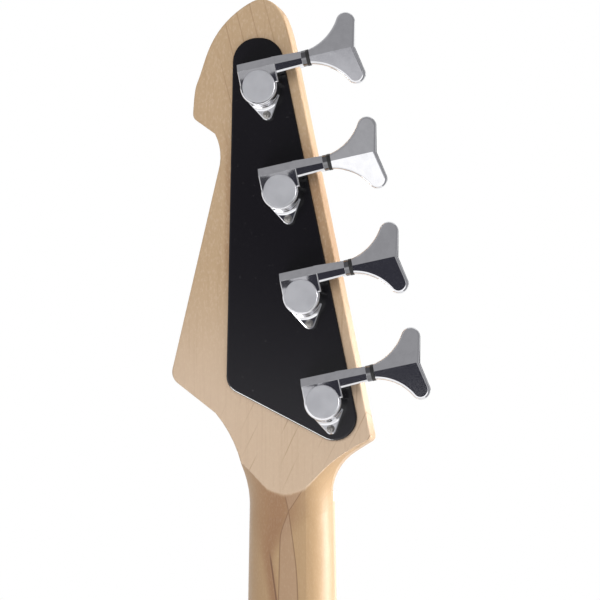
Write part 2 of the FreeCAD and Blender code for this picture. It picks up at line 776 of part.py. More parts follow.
def dot_tools():
    tools = []
    for number in DOT_FRETS:
        z = (fret_height_at(number) + fret_height_at(number - 1)) / 2
        sides = (0,) if number != 12 else (0.5 * half_width(z), -0.5 * half_width(z))
        for x in sides:
            crown_drop = mm("board_radius") - math.sqrt(mm("board_radius") ** 2 - x * x)
            foot = Vector(x, -crown_drop - mm("dot_depth"), z)
            tools.append(Part.makeCylinder(mm("dot_radius"), 4, foot, Vector(0, 1, 0)))
        spread = (0,) if number != 12 else (4.0, -4.0)
        for shift in spread:
            foot = Vector(half_width(z) - mm("dot_depth"), glue_plane / 2, z + shift)
            tools.append(Part.makeCylinder(mm("side_dot_radius"), 4, foot, Vector(1, 0, 0)))
    return tools


blank = board_blank()
dots = dot_tools()
fret_places = [fret_height_at(number) for number in range(1, int(mm("fret_count")) + 1)]
fret_shapes = [fret_shape(z) for z in fret_places]
slots = []
for z in fret_places:
    slot_half = mm("fret_tang_width") / 2 + 0.02
    slots.append(block(Vector(-50, -mm("fret_tang_depth") - 2.2, z - slot_half),
                       Vector(50, 3, z + slot_half)))
solid_piece("fretboard", blank.cut(dots + slots))
solid_piece("frets", Part.makeCompound(fret_shapes))
solid_piece("position_dots", Part.makeCompound([blank.common(tool) for tool in dots]))


# Nut: a block with four string slots


def string_at_nut(index):
    return Vector(mm("nut_string_span") * fan[index], mm("string_lift_nut") + gauges[index] / 2,
                  mm("nut_thickness") / 2)


def make_nut():
    body = new_body("nut", Placement(Vector(0, 0, 0), Rotation()))
    gauge_names = ("gauge_e", "gauge_a", "gauge_d", "gauge_g")
    half = cell("nut_width") / 2
    top = cell("nut_rise")
    corners = [(-half, -cell("board_thickness")), (half, -cell("board_thickness")), (half, top)]
    for share, gauge in zip(fan, gauge_names):
        middle = cell("nut_string_span") * share
        room = cell(gauge) / 2 + 0.15
        foot = cell("string_lift_nut") - 0.2
        corners.append((middle + room, top))
        corners.append((middle + room, foot))
        corners.append((middle - room, foot))
        corners.append((middle - room, top))
    corners.append((-half, top))
    sketch = sketch_on(body, "nut_profile", "XY_Plane")
    draw_polygon(sketch, corners)
    pad(body, sketch, cell("nut_thickness"))
    keep(body)


make_nut()


# Black plate behind the head


def make_head_plate():
    back = Placement(Vector(0, head_back, 0), BACK)
    body = new_body("head_plate", back)
    e_x = cell("post_side")
    e_z = cell("post_rise")
    reach = cell("post_pitch") * 3
    g_x = e_x - reach * as_size(math.sin(lean))
    g_z = e_z + reach * as_size(math.cos(lean))
    sketch = sketch_on(body, "plate_outline", "XY_Plane")
    draw_polygon(sketch, [
        (e_x - 49.2, e_z + 7.4),
        (e_x + 19.2, e_z - 27.8),
        (g_x + 7.9, g_z + 25.2),
        (g_x - 14.7, g_z + 25.2),
    ])
    pad(body, sketch, cell("plate_thickness"))

    def corner(test):
        def chosen(edge):
            return upright(edge) and test(edge.Vertexes[0].Point)
        return chosen

    middle = posts[0].z + 60
    round_edges(body, "plate_top_round", cell("plate_top_corner"), corner(lambda p: p.y > middle))
    round_edges(body, "plate_foot_round", cell("plate_foot_corner"),
                corner(lambda p: p.y < posts[0].z and p.x > 0))
    round_edges(body, "plate_side_round", cell("plate_side_corner"),
                corner(lambda p: p.y < middle and p.x < posts[0].x - 49))
    round_edges(body, "plate_rim_round", cell("plate_round"), level_at(mm("plate_thickness")))
    holes = sketch_on(body, "plate_holes", "XY_Plane")
    lug_x = cell("lug_reach") * as_size(math.sin(lean))
    lug_z = cell("lug_reach") * as_size(math.cos(lean))
    for index in range(4):
        step = cell("post_pitch") * index
        x = e_x - step * as_size(math.sin(lean))
        z = e_z + step * as_size(math.cos(lean))
        draw_circle(holes, x, z, cell("post_hole"))
        draw_circle(holes, x + lug_x, z - lug_z, cell("tuner_screw_shank") + cell("clear_gap"))
    pocket(body, holes)
    keep(body)


make_head_plate()


# Tuners, in a local frame: X out along the worm to the key, Y up the post line, Z off the plate

worm_across = mm("worm_pitch_radius") + mm("wheel_pitch_radius")
worm_axis = Vector(0, worm_across, mm("worm_height"))
barrel_tip = mm("housing_front") + mm("barrel_length")
collar_tip = barrel_tip + mm("collar_length")
washer_tip = collar_tip + mm("washer_thickness")
key_start = washer_tip + 0.2
worm_tip_radius = mm("worm_pitch_radius") + mm("worm_tip")
worm_root_radius = mm("worm_pitch_radius") - mm("worm_root")
thread_pitch = 2 * math.pi * mm("wheel_pitch_radius") / mm("wheel_teeth")
worm_length = thread_pitch * mm("worm_turns")
flank = math.tan(math.radians(mm("tooth_flank")))
wheel_foot = mm("worm_height") - mm("wheel_thickness") / 2
cap_foot = mm("housing_height") + mm("cap_proud") - mm("cap_thickness")


def circle_wire(middle, radius, normal):
    return Part.Wire([Part.Circle(middle, normal, radius).toShape()])


def barrel_section(x, half):
    """Outline of the worm barrel: a ridge over the axis, one slanted facet, the rest boxy."""
    shares = ((1.0, 0.33), (0.0, 1.0), (-0.8, 1.0), (-1.0, 0.8), (-1.0, -0.8), (-0.8, -1.0),
              (0.8, -1.0), (1.0, -0.8))
    spots = [Vector(x, worm_axis.y + half * a, worm_axis.z + half * b) for a, b in shares]
    return Part.makePolygon(spots + [spots[0]])


def lug_outline(inset, height):
    """Corners of the lug where its straight sides touch the wall's round and the tip's round."""
    wide = mm("housing_round") + mm("lug_spread") - inset
    tip = mm("lug_tip") - inset
    drop = mm("housing_flare")
    reach = mm("lug_reach")
    fall = (wide - tip) / (reach - drop)
    side = math.sqrt(1 - fall * fall)
    return [
        Vector(wide * side, -drop - wide * fall, height),
        Vector(tip * side, -reach - tip * fall, height),
        Vector(-tip * side, -reach - tip * fall, height),
        Vector(-wide * side, -drop - wide * fall, height),
    ]


def lug_shape():
    """The screw lug: a bevelled tongue, and a hollow that runs up from it to the wall."""
    tip = mm("lug_tip")
    bevel = mm("lug_bevel")
    flat = mm("lug_thickness")
    edge = flat - bevel
    middle = Vector(0, -mm("lug_reach"), 0)
    foot = lug_outline(0, 0)
    slope = []
    for inset, height in ((0, edge), (bevel, flat)):
        corners = lug_outline(inset, height)
        slope.append(Part.makePolygon(corners + [corners[0]]))
    lug = prism(foot, Vector(0, 0, edge)).fuse([
        Part.makeLoft(slope, True, True),
        Part.makeCylinder(tip, edge, middle),
        Part.makeCone(tip, tip - bevel, bevel, middle + Vector(0, 0, edge)),
    ])
    cove = mm("housing_cove")
    lean = mm("housing_flare") * (1 - flat / mm("housing_height"))
    wall = mm("housing_round")
    bend = math.sqrt(0.5)
    hollow = Part.Face(Part.Wire([
        line_edge(Vector(wall - 1, 0, edge), Vector(wall + cove, 0, edge)),
        line_edge(Vector(wall + cove, 0, edge), Vector(wall + cove, 0, flat)),
        arc_edge(Vector(wall + cove, 0, flat), Vector(wall + cove * (1 - bend), 0, flat + cove * (1 - bend)),
                 Vector(wall, 0, flat + cove)),
        line_edge(Vector(wall, 0, flat + cove), Vector(wall - 1, 0, flat + cove)),
        line_edge(Vector(wall - 1, 0, flat + cove), Vector(wall - 1, 0, edge)),
    ])).revolve(Vector(0, 0, 0), Vector(0, 0, 1), 360)
    hollow.translate(Vector(-mm("housing_shift"), -lean, 0))
    hollow = hollow.common(prism(lug_outline(bevel, 0), Vector(0, 0, flat + cove + 1)))
    return lug.fuse(hollow).removeSplitter()


def housing_shape():
    top = mm("housing_height")
    up = Vector(0, 0, 1)
    drum = Part.makeLoft([
        circle_wire(Vector(-mm("housing_shift"), -mm("housing_flare"), 0), mm("housing_round"), up),
        circle_wire(Vector(-mm("housing_shift"), 0, top), mm("housing_round"), up),
    ], True, True)
    box = block(Vector(-mm("housing_back"), 0, 0), Vector(mm("housing_front"), mm("housing_top"), top))
    shell = drum.fuse(box).removeSplitter()
    rims = []
    for edge in shell.Edges:
        bounds = edge.BoundBox
        if bounds.ZMin > top - 0.001 and bounds.YMin < mm("housing_top") - 0.001:
            rims.append(edge)
    shell = shell.makeFillet(mm("housing_edge"), rims)
    wide = 60
    facet = prism([
        Vector(-wide, worm_axis.y, top),
        Vector(-wide, mm("housing_top") + 0.01, top - mm("facet_drop")),
        Vector(-wide, mm("housing_top") + 5, top - mm("facet_drop")),
        Vector(-wide, mm("housing_top") + 5, top + 5),
        Vector(-wide, worm_axis.y, top + 5),
    ], Vector(2 * wide, 0, 0))
    shell = shell.cut(facet)
    lug = lug_shape()
    barrel = Part.makeLoft([
        barrel_section(mm("housing_front") - 1.5, mm("barrel_root")),
        barrel_section(barrel_tip, mm("barrel_end")),
    ], True, True)
    collar = rod(Vector(barrel_tip, worm_axis.y, worm_axis.z),
                 Vector(collar_tip, worm_axis.y, worm_axis.z), mm("collar_radius"))
    shell = shell.fuse([lug, barrel, collar]).removeSplitter()
    nose = worm_length / 2 + mm("worm_run_out") + mm("clear_gap")
    tail = -nose
    cuts = [
        Part.makeCylinder(mm("cap_radius") + mm("seat_gap"), 5, Vector(0, 0, cap_foot)),
        Part.makeCylinder(wheel_tip_radius + mm("clear_gap"), cap_foot - mm("housing_floor"),
                          Vector(0, 0, mm("housing_floor"))),
        Part.makeCylinder(mm("post_journal") + mm("running_gap"), mm("housing_floor") + 2,
                          Vector(0, 0, -1)),
        rod(worm_axis + Vector(tail, 0, 0), worm_axis + Vector(nose, 0, 0),
            worm_tip_radius + mm("clear_gap")),
        rod(worm_axis + Vector(nose - 1, 0, 0), worm_axis + Vector(collar_tip + 1, 0, 0),
            mm("worm_shaft") + mm("running_gap")),
        rod(worm_axis + Vector(tail - mm("worm_tail_length"), 0, 0), worm_axis + Vector(tail + 1, 0, 0),
            mm("worm_tail") + mm("running_gap")),
        Part.makeCylinder(mm("tuner_screw_shank") + mm("clear_gap"), 10, Vector(0, -mm("lug_reach"), -1)),
    ]
    return shell.cut(cuts)


wheel_tip_radius = mm("wheel_pitch_radius") + mm("worm_root") - 0.15


def wheel_shape():
    wheel = Part.makeCylinder(wheel_tip_radius, mm("wheel_thickness"), Vector(0, 0, wheel_foot))
    lead = math.atan2(thread_pitch, 2 * math.pi * mm("worm_pitch_radius"))
    gap_half = thread_pitch / 2 - mm("tooth_share")
    root = mm("wheel_pitch_radius") - mm("worm_tip") - 0.15
    outer = wheel_tip_radius + 0.3
    root_half = gap_half - (mm("wheel_pitch_radius") - root) * flank
    outer_half = gap_half + (outer - mm("wheel_pitch_radius")) * flank
    along = Vector(math.sin(lead), 0, -math.cos(lead)) * (2 * mm("wheel_thickness"))
    start = Vector(0, 0, mm("worm_height")) - along * 0.5
    gap = prism([
        start + Vector(-root_half, root, 0),
        start + Vector(-outer_half, outer, 0),
        start + Vector(outer_half, outer, 0),
        start + Vector(root_half, root, 0),
    ], along)
    gaps = []
    for tooth in range(int(mm("wheel_teeth"))):
        copy = gap.copy()
        copy.rotate(Vector(0, 0, 0), Vector(0, 0, 1), 360.0 * tooth / mm("wheel_teeth"))
        gaps.append(copy)
    bore = Part.makeCylinder(mm("wheel_seat") + mm("seat_gap"), 3 * mm("wheel_thickness"),
                             Vector(0, 0, wheel_foot - mm("wheel_thickness")))
    return wheel.cut(gaps + [bore])


def worm_shape():
    """Worm and its shaft; the thread is a right-hand helix."""
    half_tip = mm("tooth_share") - mm("worm_tip") * flank
    sunk = worm_root_radius - 0.1
    half_root = mm("tooth_share") + (mm("worm_pitch_radius") - sunk) * flank
    helix = Part.makeHelix(thread_pitch, worm_length, mm("worm_pitch_radius"))
    profile = Part.makePolygon([
        Vector(sunk, 0, -half_root),
        Vector(worm_tip_radius, 0, -half_tip),
        Vector(worm_tip_radius, 0, half_tip),
        Vector(sunk, 0, half_root),
        Vector(sunk, 0, -half_root),
    ])
    sweep = Part.BRepOffsetAPI.MakePipeShell(Part.Wire(helix.Edges))
    sweep.setFrenetMode(True)
    sweep.add(profile)
    sweep.build()
    sweep.makeSolid()
    thread = sweep.shape()
    tail = -mm("worm_run_out")
    nose = worm_length + mm("worm_run_out")
    far = worm_length / 2 + key_start + mm("key_socket")
    profile = [
        (0, tail - mm("worm_tail_length")),
        (mm("worm_tail"), tail - mm("worm_tail_length")),
        (mm("worm_tail"), tail),
        (worm_root_radius, tail),
        (worm_root_radius, nose),
        (mm("worm_shaft"), nose),
        (mm("worm_shaft"), far),
        (0, far),
    ]
    face = Part.Face(Part.makePolygon([Vector(r, 0, z) for r, z in profile + profile[:1]]))
    shaft = face.revolve(Vector(0, 0, 0), Vector(0, 0, 1), 360)
    both = shaft.fuse(thread)
    both.translate(Vector(0, 0, -worm_length / 2))
    both.rotate(Vector(0, 0, 0), Vector(0, 0, 1), -180 * mm("worm_turns"))
    turn = FreeCAD.Matrix(0, 0, 1, 0, -1, 0, 0, worm_axis.y, 0, -1, 0, worm_axis.z, 0, 0, 0, 1)
    both.Placement = Placement(turn).multiply(both.Placement)
    if len(both.Solids) != 1 or both.Volume < shaft.Volume:
        raise RuntimeError("the worm thread is not joined to its shaft")
    return both


def key_shape():
    """A fishtail key: two wings that meet at a crease along the axis."""
    half = mm("key_span") / 2
    length = mm("key_length")
    stem = mm("key_stem")
    tip_radius = 4.4

    def spot(along, across):
        return Vector(key_start + along, worm_axis.y + across, 0)

    outer_in = spot(length - mm("key_notch"), 0)
    upper = []
    for sign in (1, -1):
        start = spot(0, sign * stem)
        waist = spot(length * 0.36, sign * (stem + (half - stem) * 0.266))
        root = spot(length * 0.65, sign * (half - 2.6))
        crown = spot(length * 0.845, sign * half)
        edge = spot(length, sign * (half - 1.32 * tip_radius))
        upper.append((start, waist, root, crown, edge))
    top, low = upper
    outline = Part.Wire([
        line_edge(low[0], top[0]),
        arc_edge(top[0], top[1], top[2]),
        arc_edge(top[2], top[3], top[4]),
        line_edge(top[4], outer_in),
        line_edge(outer_in, low[4]),
        arc_edge(low[4], low[3], low[2]),
        arc_edge(low[2], low[1], low[0]),
    ])
    deep = mm("key_crease") + 1
    flat = Part.Face(outline).extrude(Vector(0, 0, 2 * deep))
    flat.translate(Vector(0, 0, worm_axis.z - deep))
    roof = []
    for across, rise in ((0, mm("key_crease")), (half, mm("key_rim")), (half, -mm("key_rim")),
                         (0, -mm("key_crease")), (-half, -mm("key_rim")), (-half, mm("key_rim"))):
        roof.append(Vector(key_start - 1, worm_axis.y + across * 1.02, worm_axis.z + rise))
    wings = flat.common(prism(roof, Vector(length + 3, 0, 0)))
    rims = []
    for edge in wings.Edges:
        box = edge.BoundBox
        on_crease = abs(box.YMin - worm_axis.y) < 0.01 and abs(box.YMax - worm_axis.y) < 0.01
        upright_edge = box.YMax - box.YMin < 0.01 and box.XMax - box.XMin < 0.01
        on_start = box.XMax < key_start + 0.01
        if not (on_crease or upright_edge or on_start):
            rims.append(edge)
    wings = wings.makeFillet(mm("key_round"), rims)
    bore = rod(worm_axis + Vector(key_start - 1, 0, 0),
               worm_axis + Vector(key_start + mm("key_socket") + mm("seat_gap"), 0, 0),
               mm("worm_shaft") + mm("seat_gap"))
    return wings.cut(bore)


def post_profile():
    seat = cell("wheel_seat")
    foot = cell("worm_height") - cell("wheel_thickness") / 2
    head = cell("worm_height") + cell("wheel_thickness") / 2
    front = -(cell("plate_thickness") + cell("head_thickness"))
    collar = front - cell("bushing_head") - cell("clear_gap")
    waist_start = collar - 1.5
    waist_end = waist_start - cell("post_waist_length")
    tip = waist_end - cell("post_rim_height")
    sleeve_end = front + cell("bushing_sleeve")
    return [
        (0, head + 0.2),
        (seat, head + 0.2),
        (seat, foot),
        (cell("post_journal"), foot),
        (cell("post_journal"), sleeve_end),
        (cell("post_barrel"), sleeve_end),
        (cell("post_barrel"), collar),
        (cell("post_rim"), collar),
        (cell("post_rim"), waist_start + 0.5),
        (cell("post_waist"), waist_start),
        (cell("post_waist"), waist_end + 0.5),
        (cell("post_rim"), waist_end),
        (cell("post_rim"), tip + 0.6),
        (cell("post_rim") - 0.6, tip),
        (0, tip),
    ], tip


def make_post(number):
    profile, tip = post_profile()
    label = "string_post_%d" % number
    body = turned(label, profile, tuner_places[number - 1])
    slot = sketch_on(body, label + "_slot", "XY_Plane", tip + cell("post_slot_depth"))
    half = cell("post_slot") / 2
    draw_polygon(slot, [(-20, -half), (20, -half), (20, half), (-20, half)])
    pocket(body, slot, cell("post_slot_depth") + 5)
    hole = sketch_on(body, label + "_hole", "XY_Plane", tip + cell("post_slot_depth") + 7)
    draw_circle(hole, 0, 0, cell("post_bore"))
    pocket(body, hole, cell("post_slot_depth") + 12)
    keep(body)


def make_bushing():
    body = new_body("bushing_master")
    front = -(cell("plate_thickness") + cell("head_thickness"))
    head = sketch_on(body, "bushing_hexagon", "XY_Plane", front - cell("bushing_head"))
    draw_polygon(head, hexagon(cell("bushing_flats")))
    pad(body, head, cell("bushing_head"))
    sleeve = sketch_on(body, "bushing_sleeve_ring", "XY_Plane", front)
    draw_circle(sleeve, 0, 0, cell("post_hole") - 0.1)
    pad(body, sleeve, cell("bushing_sleeve"))
    bore = sketch_on(body, "bushing_bore", "XY_Plane")
    draw_circle(bore, 0, 0, cell("post_barrel") + cell("running_gap"))
    pocket(body, bore)
    return body


def screw_master(name, head, dome, shank, length, flat_head=False):
    """A wood screw: domed or countersunk head with a cross recess, tapered point."""
    point = shank * 2.0
    if flat_head:
        profile = [(0, 0.3), (head * 0.6, 0.2), (head, 0), (shank, -(head - shank))]
    else:
        profile = [(0, dome), (head * 0.55, dome * 0.85), (head * 0.95, dome * 0.35), (head, 0), (shank, 0)]
    profile = profile + [(shank, -(length - point)), (0, -length)]
    body = turned(name, profile)
    arm = head * 0.55
    half = head * 0.14
    top = 0.3 if flat_head else dome
    cross = sketch_on(body, name + "_cross", "XY_Plane", as_size(top))
    draw_polygon(cross, [(-arm, -half), (-half, -half), (-half, -arm), (half, -arm),
                         (half, -half), (arm, -half), (arm, half), (half, half),
                         (half, arm), (-half, arm), (-half, half), (-arm, half)])
    pocket(body, cross, head * 0.5)
    return body


def tuner_shift(place, x, y, z):
    return place.multiply(Placement(Vector(x, y, z), Rotation()))


housing = doc.addObject("Part::Feature", "housing_master")
housing.Shape = housing_shape()
wheel = wheel_shape()
worm = worm_shape()
key = key_shape()
# How far each key stands turned from flat, in degrees
KEY_REST = (-5.0, -5.0, 1.0, -0.3)

for index, place in enumerate(tuner_places):
    number = index + 1
    spin = Placement(Vector(0, 0, 0), Rotation(Vector(1, 0, 0), KEY_REST[index]), worm_axis)
    solid_piece("tuner_key_%d" % number, placed(key, place.multiply(spin)))
    solid_piece("worm_shaft_%d" % number, placed(worm, place))
    solid_piece("worm_wheel_%d" % number, placed(wheel, place))
    make_post(number)

cap = turned("cap_master", [
    (0, cell("housing_height") + cell("cap_proud") - cell("cap_thickness")),
    (cell("cap_radius"), cell("housing_height") + cell("cap_proud") - cell("cap_thickness")),
    (cell("cap_radius"), cell("housing_height") + cell("cap_proud") - 0.3),
    (cell("cap_radius") - 0.3, cell("housing_height") + cell("cap_proud")),
    (0, cell("housing_height") + cell("cap_proud")),
])
washer_start = cell("housing_front") + cell("barrel_length") + cell("collar_length")
washer = turned("washer_master", [
    (cell("worm_shaft") + cell("running_gap"), washer_start),
    (cell("washer_radius"), washer_start),
    (cell("washer_radius"), washer_start + cell("washer_thickness")),
    (cell("worm_shaft") + cell("running_gap"), washer_start + cell("washer_thickness")),
])
along_worm = Placement(worm_axis, Rotation(Vector(0, 1, 0), 90))
group("tuner_housings", housing, tuner_places)
group("tuner_caps", cap, tuner_places)
group("key_washers", washer, [place.multiply(along_worm) for place in tuner_places])
group("post_bushings", make_bushing(), tuner_places)
lug_screw = screw_master("lug_screw_master", cell("tuner_screw_head"), cell("tuner_screw_dome"),
                         cell("tuner_screw_shank"), cell("tuner_screw_length"))
lug_spots = [tuner_shift(place, 0, -mm("lug_reach"), mm("lug_thickness")) for place in tuner_places]
tree_screw_spot = front_place(tree_spot.x, 2.0, tree_spot.z)
group("tuner_screws", lug_screw, lug_spots + [tree_screw_spot])


# Truss rod and its nut


def make_truss_rod():
    low = board_end + 4
    up = Placement(Vector(0, -mm("rod_depth"), low), Rotation())
    length = as_size(rod_nut_foot + 9 - low)
    keep(turned("truss_rod", [
        (0, 0),
        (cell("rod_anchor"), 0),
        (cell("rod_anchor"), 15),
        (cell("rod_radius"), 15),
        (cell("rod_radius"), length),
        (0, length),
    ], up))
    place = Placement(Vector(0, -mm("rod_depth"), rod_nut_foot), Rotation())
    nut = new_body("truss_rod_nut", place)
    ring = sketch_on(nut, "truss_nut_ring", "XY_Plane")
    draw_circle(ring, 0, 0, cell("rod_nut_radius"))
    pad(nut, ring, cell("rod_nut_length"))
    bore = sketch_on(nut, "truss_nut_bore", "XY_Plane", as_size(9.3))
    draw_circle(bore, 0, 0, cell("rod_radius") + cell("running_gap"))
    pocket(nut, bore, as_size(12))
    key_hole = sketch_on(nut, "truss_nut_key", "XY_Plane", cell("rod_nut_length"))
    draw_polygon(key_hole, hexagon(cell("rod_key") * 2))
    pocket(nut, key_hole, cell("rod_nut_length") - 9)
    keep(nut)


make_truss_rod()


# Body


def from_heel(x, rise):
    return Vector(x, 0, board_end + rise)


def from_saddles(x, rise):
    return Vector(x, 0, saddle_line + rise)


def spline_outline(points):
    curve = Part.BSplineCurve()
    curve.interpolate(Points=points, PeriodicFlag=True)
    return Part.Wire([curve.toShape()])


def body_outline():
    wide = mm("body_half_width")
    tail = -mm("body_tail")
    horn = mm("horn_reach")
    short_horn = mm("short_horn_reach")
    bay = mm("cutaway_rise")
    return spline_outline([
        from_saddles(0, tail),
        from_saddles(wide * 0.63, tail + 11),
        from_saddles(wide * 0.93, tail + 48),
        from_saddles(wide * 1.01, tail + 93),
        from_saddles(wide * 0.92, tail + 178),
        from_heel(wide * 0.78, -100),
        from_heel(wide * 0.79, -40),
        from_heel(wide * 0.855, 25),
        from_heel(wide * 0.84, 0.57 * horn),
        from_heel(wide * 0.745, horn - 21),
        from_heel(wide * 0.635, horn),
        from_heel(wide * 0.54, horn - 7),
        from_heel(wide * 0.455, bay + 0.55 * (horn - bay)),
        from_heel(wide * 0.36, bay + 0.14 * (horn - bay)),
        from_heel(wide * 0.21, bay + 1),
        from_heel(0, bay),
        from_heel(-wide * 0.21, bay - 7),
        from_heel(-wide * 0.33, bay - 7),
        from_heel(-wide * 0.45, bay + 0.4 * (short_horn - bay)),
        from_heel(-wide * 0.55, short_horn - 2),
        from_heel(-wide * 0.65, short_horn - 2),
        from_heel(-wide * 0.76, short_horn - 23),
        from_heel(-wide * 0.84, 30),
        from_heel(-wide * 0.82, -40),
        from_heel(-wide * 0.75, -105),
        from_saddles(-wide * 0.765, tail + 198),
        from_saddles(-wide * 0.895, tail + 133),
        from_saddles(-wide * 0.985, tail + 83),
        from_saddles(-wide * 0.91, tail + 38),
        from_saddles(-wide * 0.6, tail + 9),
    ])


def tightest_bend(outline):
    """Radius of an outline's sharpest curve, which limits the rounding of its edge."""
    edge = outline.Edges[0]
    first, last = edge.ParameterRange
    samples = 500
    bends = []
    for sample in range(samples):
        bends.append(abs(edge.curvatureAt(first + (last - first) * sample / samples)))
    return 1 / max(bends)


pickup_halves = []
for side in (1, -1):
    pickup_z = saddle_line + mm("pickup_middle") + side * mm("pickup_stagger")
    share = pickup_z / saddle_line
    span_here = mm("nut_string_span") + (mm("bridge_string_span") - mm("nut_string_span")) * share
    pickup_halves.append(Vector(side * span_here / 3, 0, pickup_z))
lower_bout = mm("body_half_width")
volume_spot = from_saddles(mm("volume_inset") - lower_bout, mm("volume_rise"))
tone_spot = from_saddles(mm("tone_inset") - lower_bout, mm("tone_rise"))
jack_spot = from_saddles(mm("jack_inset") - lower_bout, mm("jack_rise"))
cavity_room = mm("pot_radius") + 3


def drop_from(spot, top, radius, depth):
    return Part.makeCylinder(radius, depth, Vector(spot.x, top, spot.z), Vector(0, -1, 0))


def trench(start, end, width, top, depth):
    """A straight routed channel between two places, open at the top."""
    along = end - start
    side = Vector(along.z, 0, -along.x)
    side.normalize()
    side = side * (width / 2)
    lift = Vector(0, top, 0)
    corners = [start + side + lift, end + side + lift, end - side + lift, start - side + lift]
    return prism(corners, Vector(0, -depth, 0))


def pickup_block(half, grow, top, depth):
    wide = mm("pickup_width") / 2 + grow
    tall = mm("pickup_length") / 2 + grow
    return block(Vector(half.x - wide, top - depth, half.z - tall),
                 Vector(half.x + wide, top, half.z + tall))


guard_screw_spots = [
    from_heel(lower_bout * 0.543, 72),
    from_heel(lower_bout * 0.568, 0),
    from_heel(lower_bout * 0.432, -76),
    from_heel(lower_bout * 0.296, -140),
    from_heel(-lower_bout * 0.605, 52),
    from_heel(-lower_bout * 0.667, -40),
    from_heel(-lower_bout * 0.617, -104),
    from_saddles(-lower_bout * 0.728, 30),
    from_saddles(-lower_bout * 0.407, 20),
    from_saddles(-lower_bout * 0.062, 86),
    from_heel(lower_bout * 0.284, 52),
]


def strap_seats():
    horn = from_heel(lower_bout * 0.635, mm("horn_reach") - 0.9)
    tail = from_saddles(0, -mm("body_tail") + 0.9)
    middle = (body_top + body_back) / 2
    return (
        Placement(Vector(horn.x, middle, horn.z), Rotation()),
        Placement(Vector(tail.x, middle, tail.z), Rotation(Vector(1, 0, 0), 180)),
    )


BRIDGE_SCREW_SIDES = (-36, -19, 0, 19, 36)
bridge_screw_rise = mm("bridge_front") - mm("bridge_screw_back")
bridge_screw_spots = [from_saddles(x, bridge_screw_rise) for x in BRIDGE_SCREW_SIDES]
bridge_plate_top = body_top + mm("bridge_thickness")


def body_shape():
    outline = body_outline()
    slab = Part.Face(outline).extrude(Vector(0, -mm("body_thickness"), 0))
    slab.translate(Vector(0, body_top, 0))
    rims = [edge for edge in slab.Edges if abs(edge.BoundBox.YMax - edge.BoundBox.YMin) < 0.001]
    slab = slab.makeFillet(min(mm("body_round"), 0.8 * tightest_bend(outline)), rims)
    gap = mm("pocket_gap")
    reach = board_end + 200
    heel_room = prism([
        Vector(half_width(reach) + gap, heel_floor, reach),
        Vector(-half_width(reach) - gap, heel_floor, reach),
        Vector(-half_width(board_end) - gap, heel_floor, board_end - gap),
        Vector(half_width(board_end) + gap, heel_floor, board_end - gap),
    ], Vector(0, 60, 0))
    cuts = [heel_room]
    for half in pickup_halves:
        cuts.append(pickup_block(half, 1.5, body_top + 1, 20))
    for spot in (volume_spot, tone_spot, jack_spot):
        cuts.append(drop_from(spot, body_top + 1, cavity_room, mm("cavity_depth") + 1))
    cuts.append(trench(volume_spot, tone_spot, 1.6 * cavity_room, body_top + 1, mm("cavity_depth") + 1))
    cuts.append(trench(tone_spot, jack_spot, 1.6 * cavity_room, body_top + 1, mm("cavity_depth") + 1))
    cuts.append(trench(pickup_halves[1], volume_spot, 8, body_top + 1, 14))
    cuts.append(trench(pickup_halves[0], pickup_halves[1], 8, body_top + 1, 14))
    for x, z in neck_screw_spots:
        cuts.append(rod(Vector(x, body_back - 1, z), Vector(x, heel_floor + 1, z),
                        mm("neck_screw_shank") + mm("clear_gap")))
    for spot in guard_screw_spots:
        cuts.append(drop_from(spot, body_top + 1, mm("guard_screw_shank") + mm("seat_gap"),
                              mm("guard_screw_length")))
    for spot in bridge_screw_spots:
        cuts.append(drop_from(spot, body_top + 1, mm("wood_screw_shank") + mm("seat_gap"),
                              mm("bridge_screw_length")))
    for half in pickup_halves:
        for side in (1, -1):
            spot = Vector(half.x + side * pickup_screw_reach, 0, half.z)
            cuts.append(drop_from(spot, body_top + 1, mm("guard_screw_shank") + mm("seat_gap"), 40))
    for seat in strap_seats():
        cuts.append(placed(Part.makeCylinder(mm("strap_button_radius") + 0.5, 6), seat))
        hole = Part.makeCylinder(mm("wood_screw_shank") + mm("seat_gap"), 40, Vector(0, 0, -30))
        cuts.append(placed(hole, seat))
    return slab.cut(cuts)


pickup_screw_reach = mm("pickup_width") / 2 - 3.6
solid_piece("body", body_shape())


# Pickguard


def guard_outline():
    wide = lower_bout
    return spline_outline([
        from_heel(wide * 0.272, 62),
        from_heel(wide * 0.481, 86),
        from_heel(wide * 0.611, 80),
        from_heel(wide * 0.648, 50),
        from_heel(wide * 0.605, -6),
        from_heel(wide * 0.488, -64),
        from_heel(wide * 0.407, -114),
        from_heel(wide * 0.37, -150),
        from_saddles(wide * 0.272, 84),
        from_saddles(wide * 0.037, 76),
        from_saddles(-wide * 0.21, 72),
        from_saddles(-wide * 0.309, 54),
        from_saddles(-wide * 0.346, 26),
        from_saddles(-wide * 0.457, -4),
        from_saddles(-wide * 0.654, -8),
        from_saddles(-wide * 0.784, 18),
        from_saddles(-wide * 0.765, 62),
        from_saddles(-wide * 0.679, 112),
        from_heel(-wide * 0.654, -100),
        from_heel(-wide * 0.716, -42),
        from_heel(-wide * 0.728, 20),
        from_heel(-wide * 0.648, 62),
        from_heel(-wide * 0.519, 70),
        from_heel(-wide * 0.395, 50),
        from_heel(-wide * 0.272, 30),
        from_heel(0, 34),
    ])


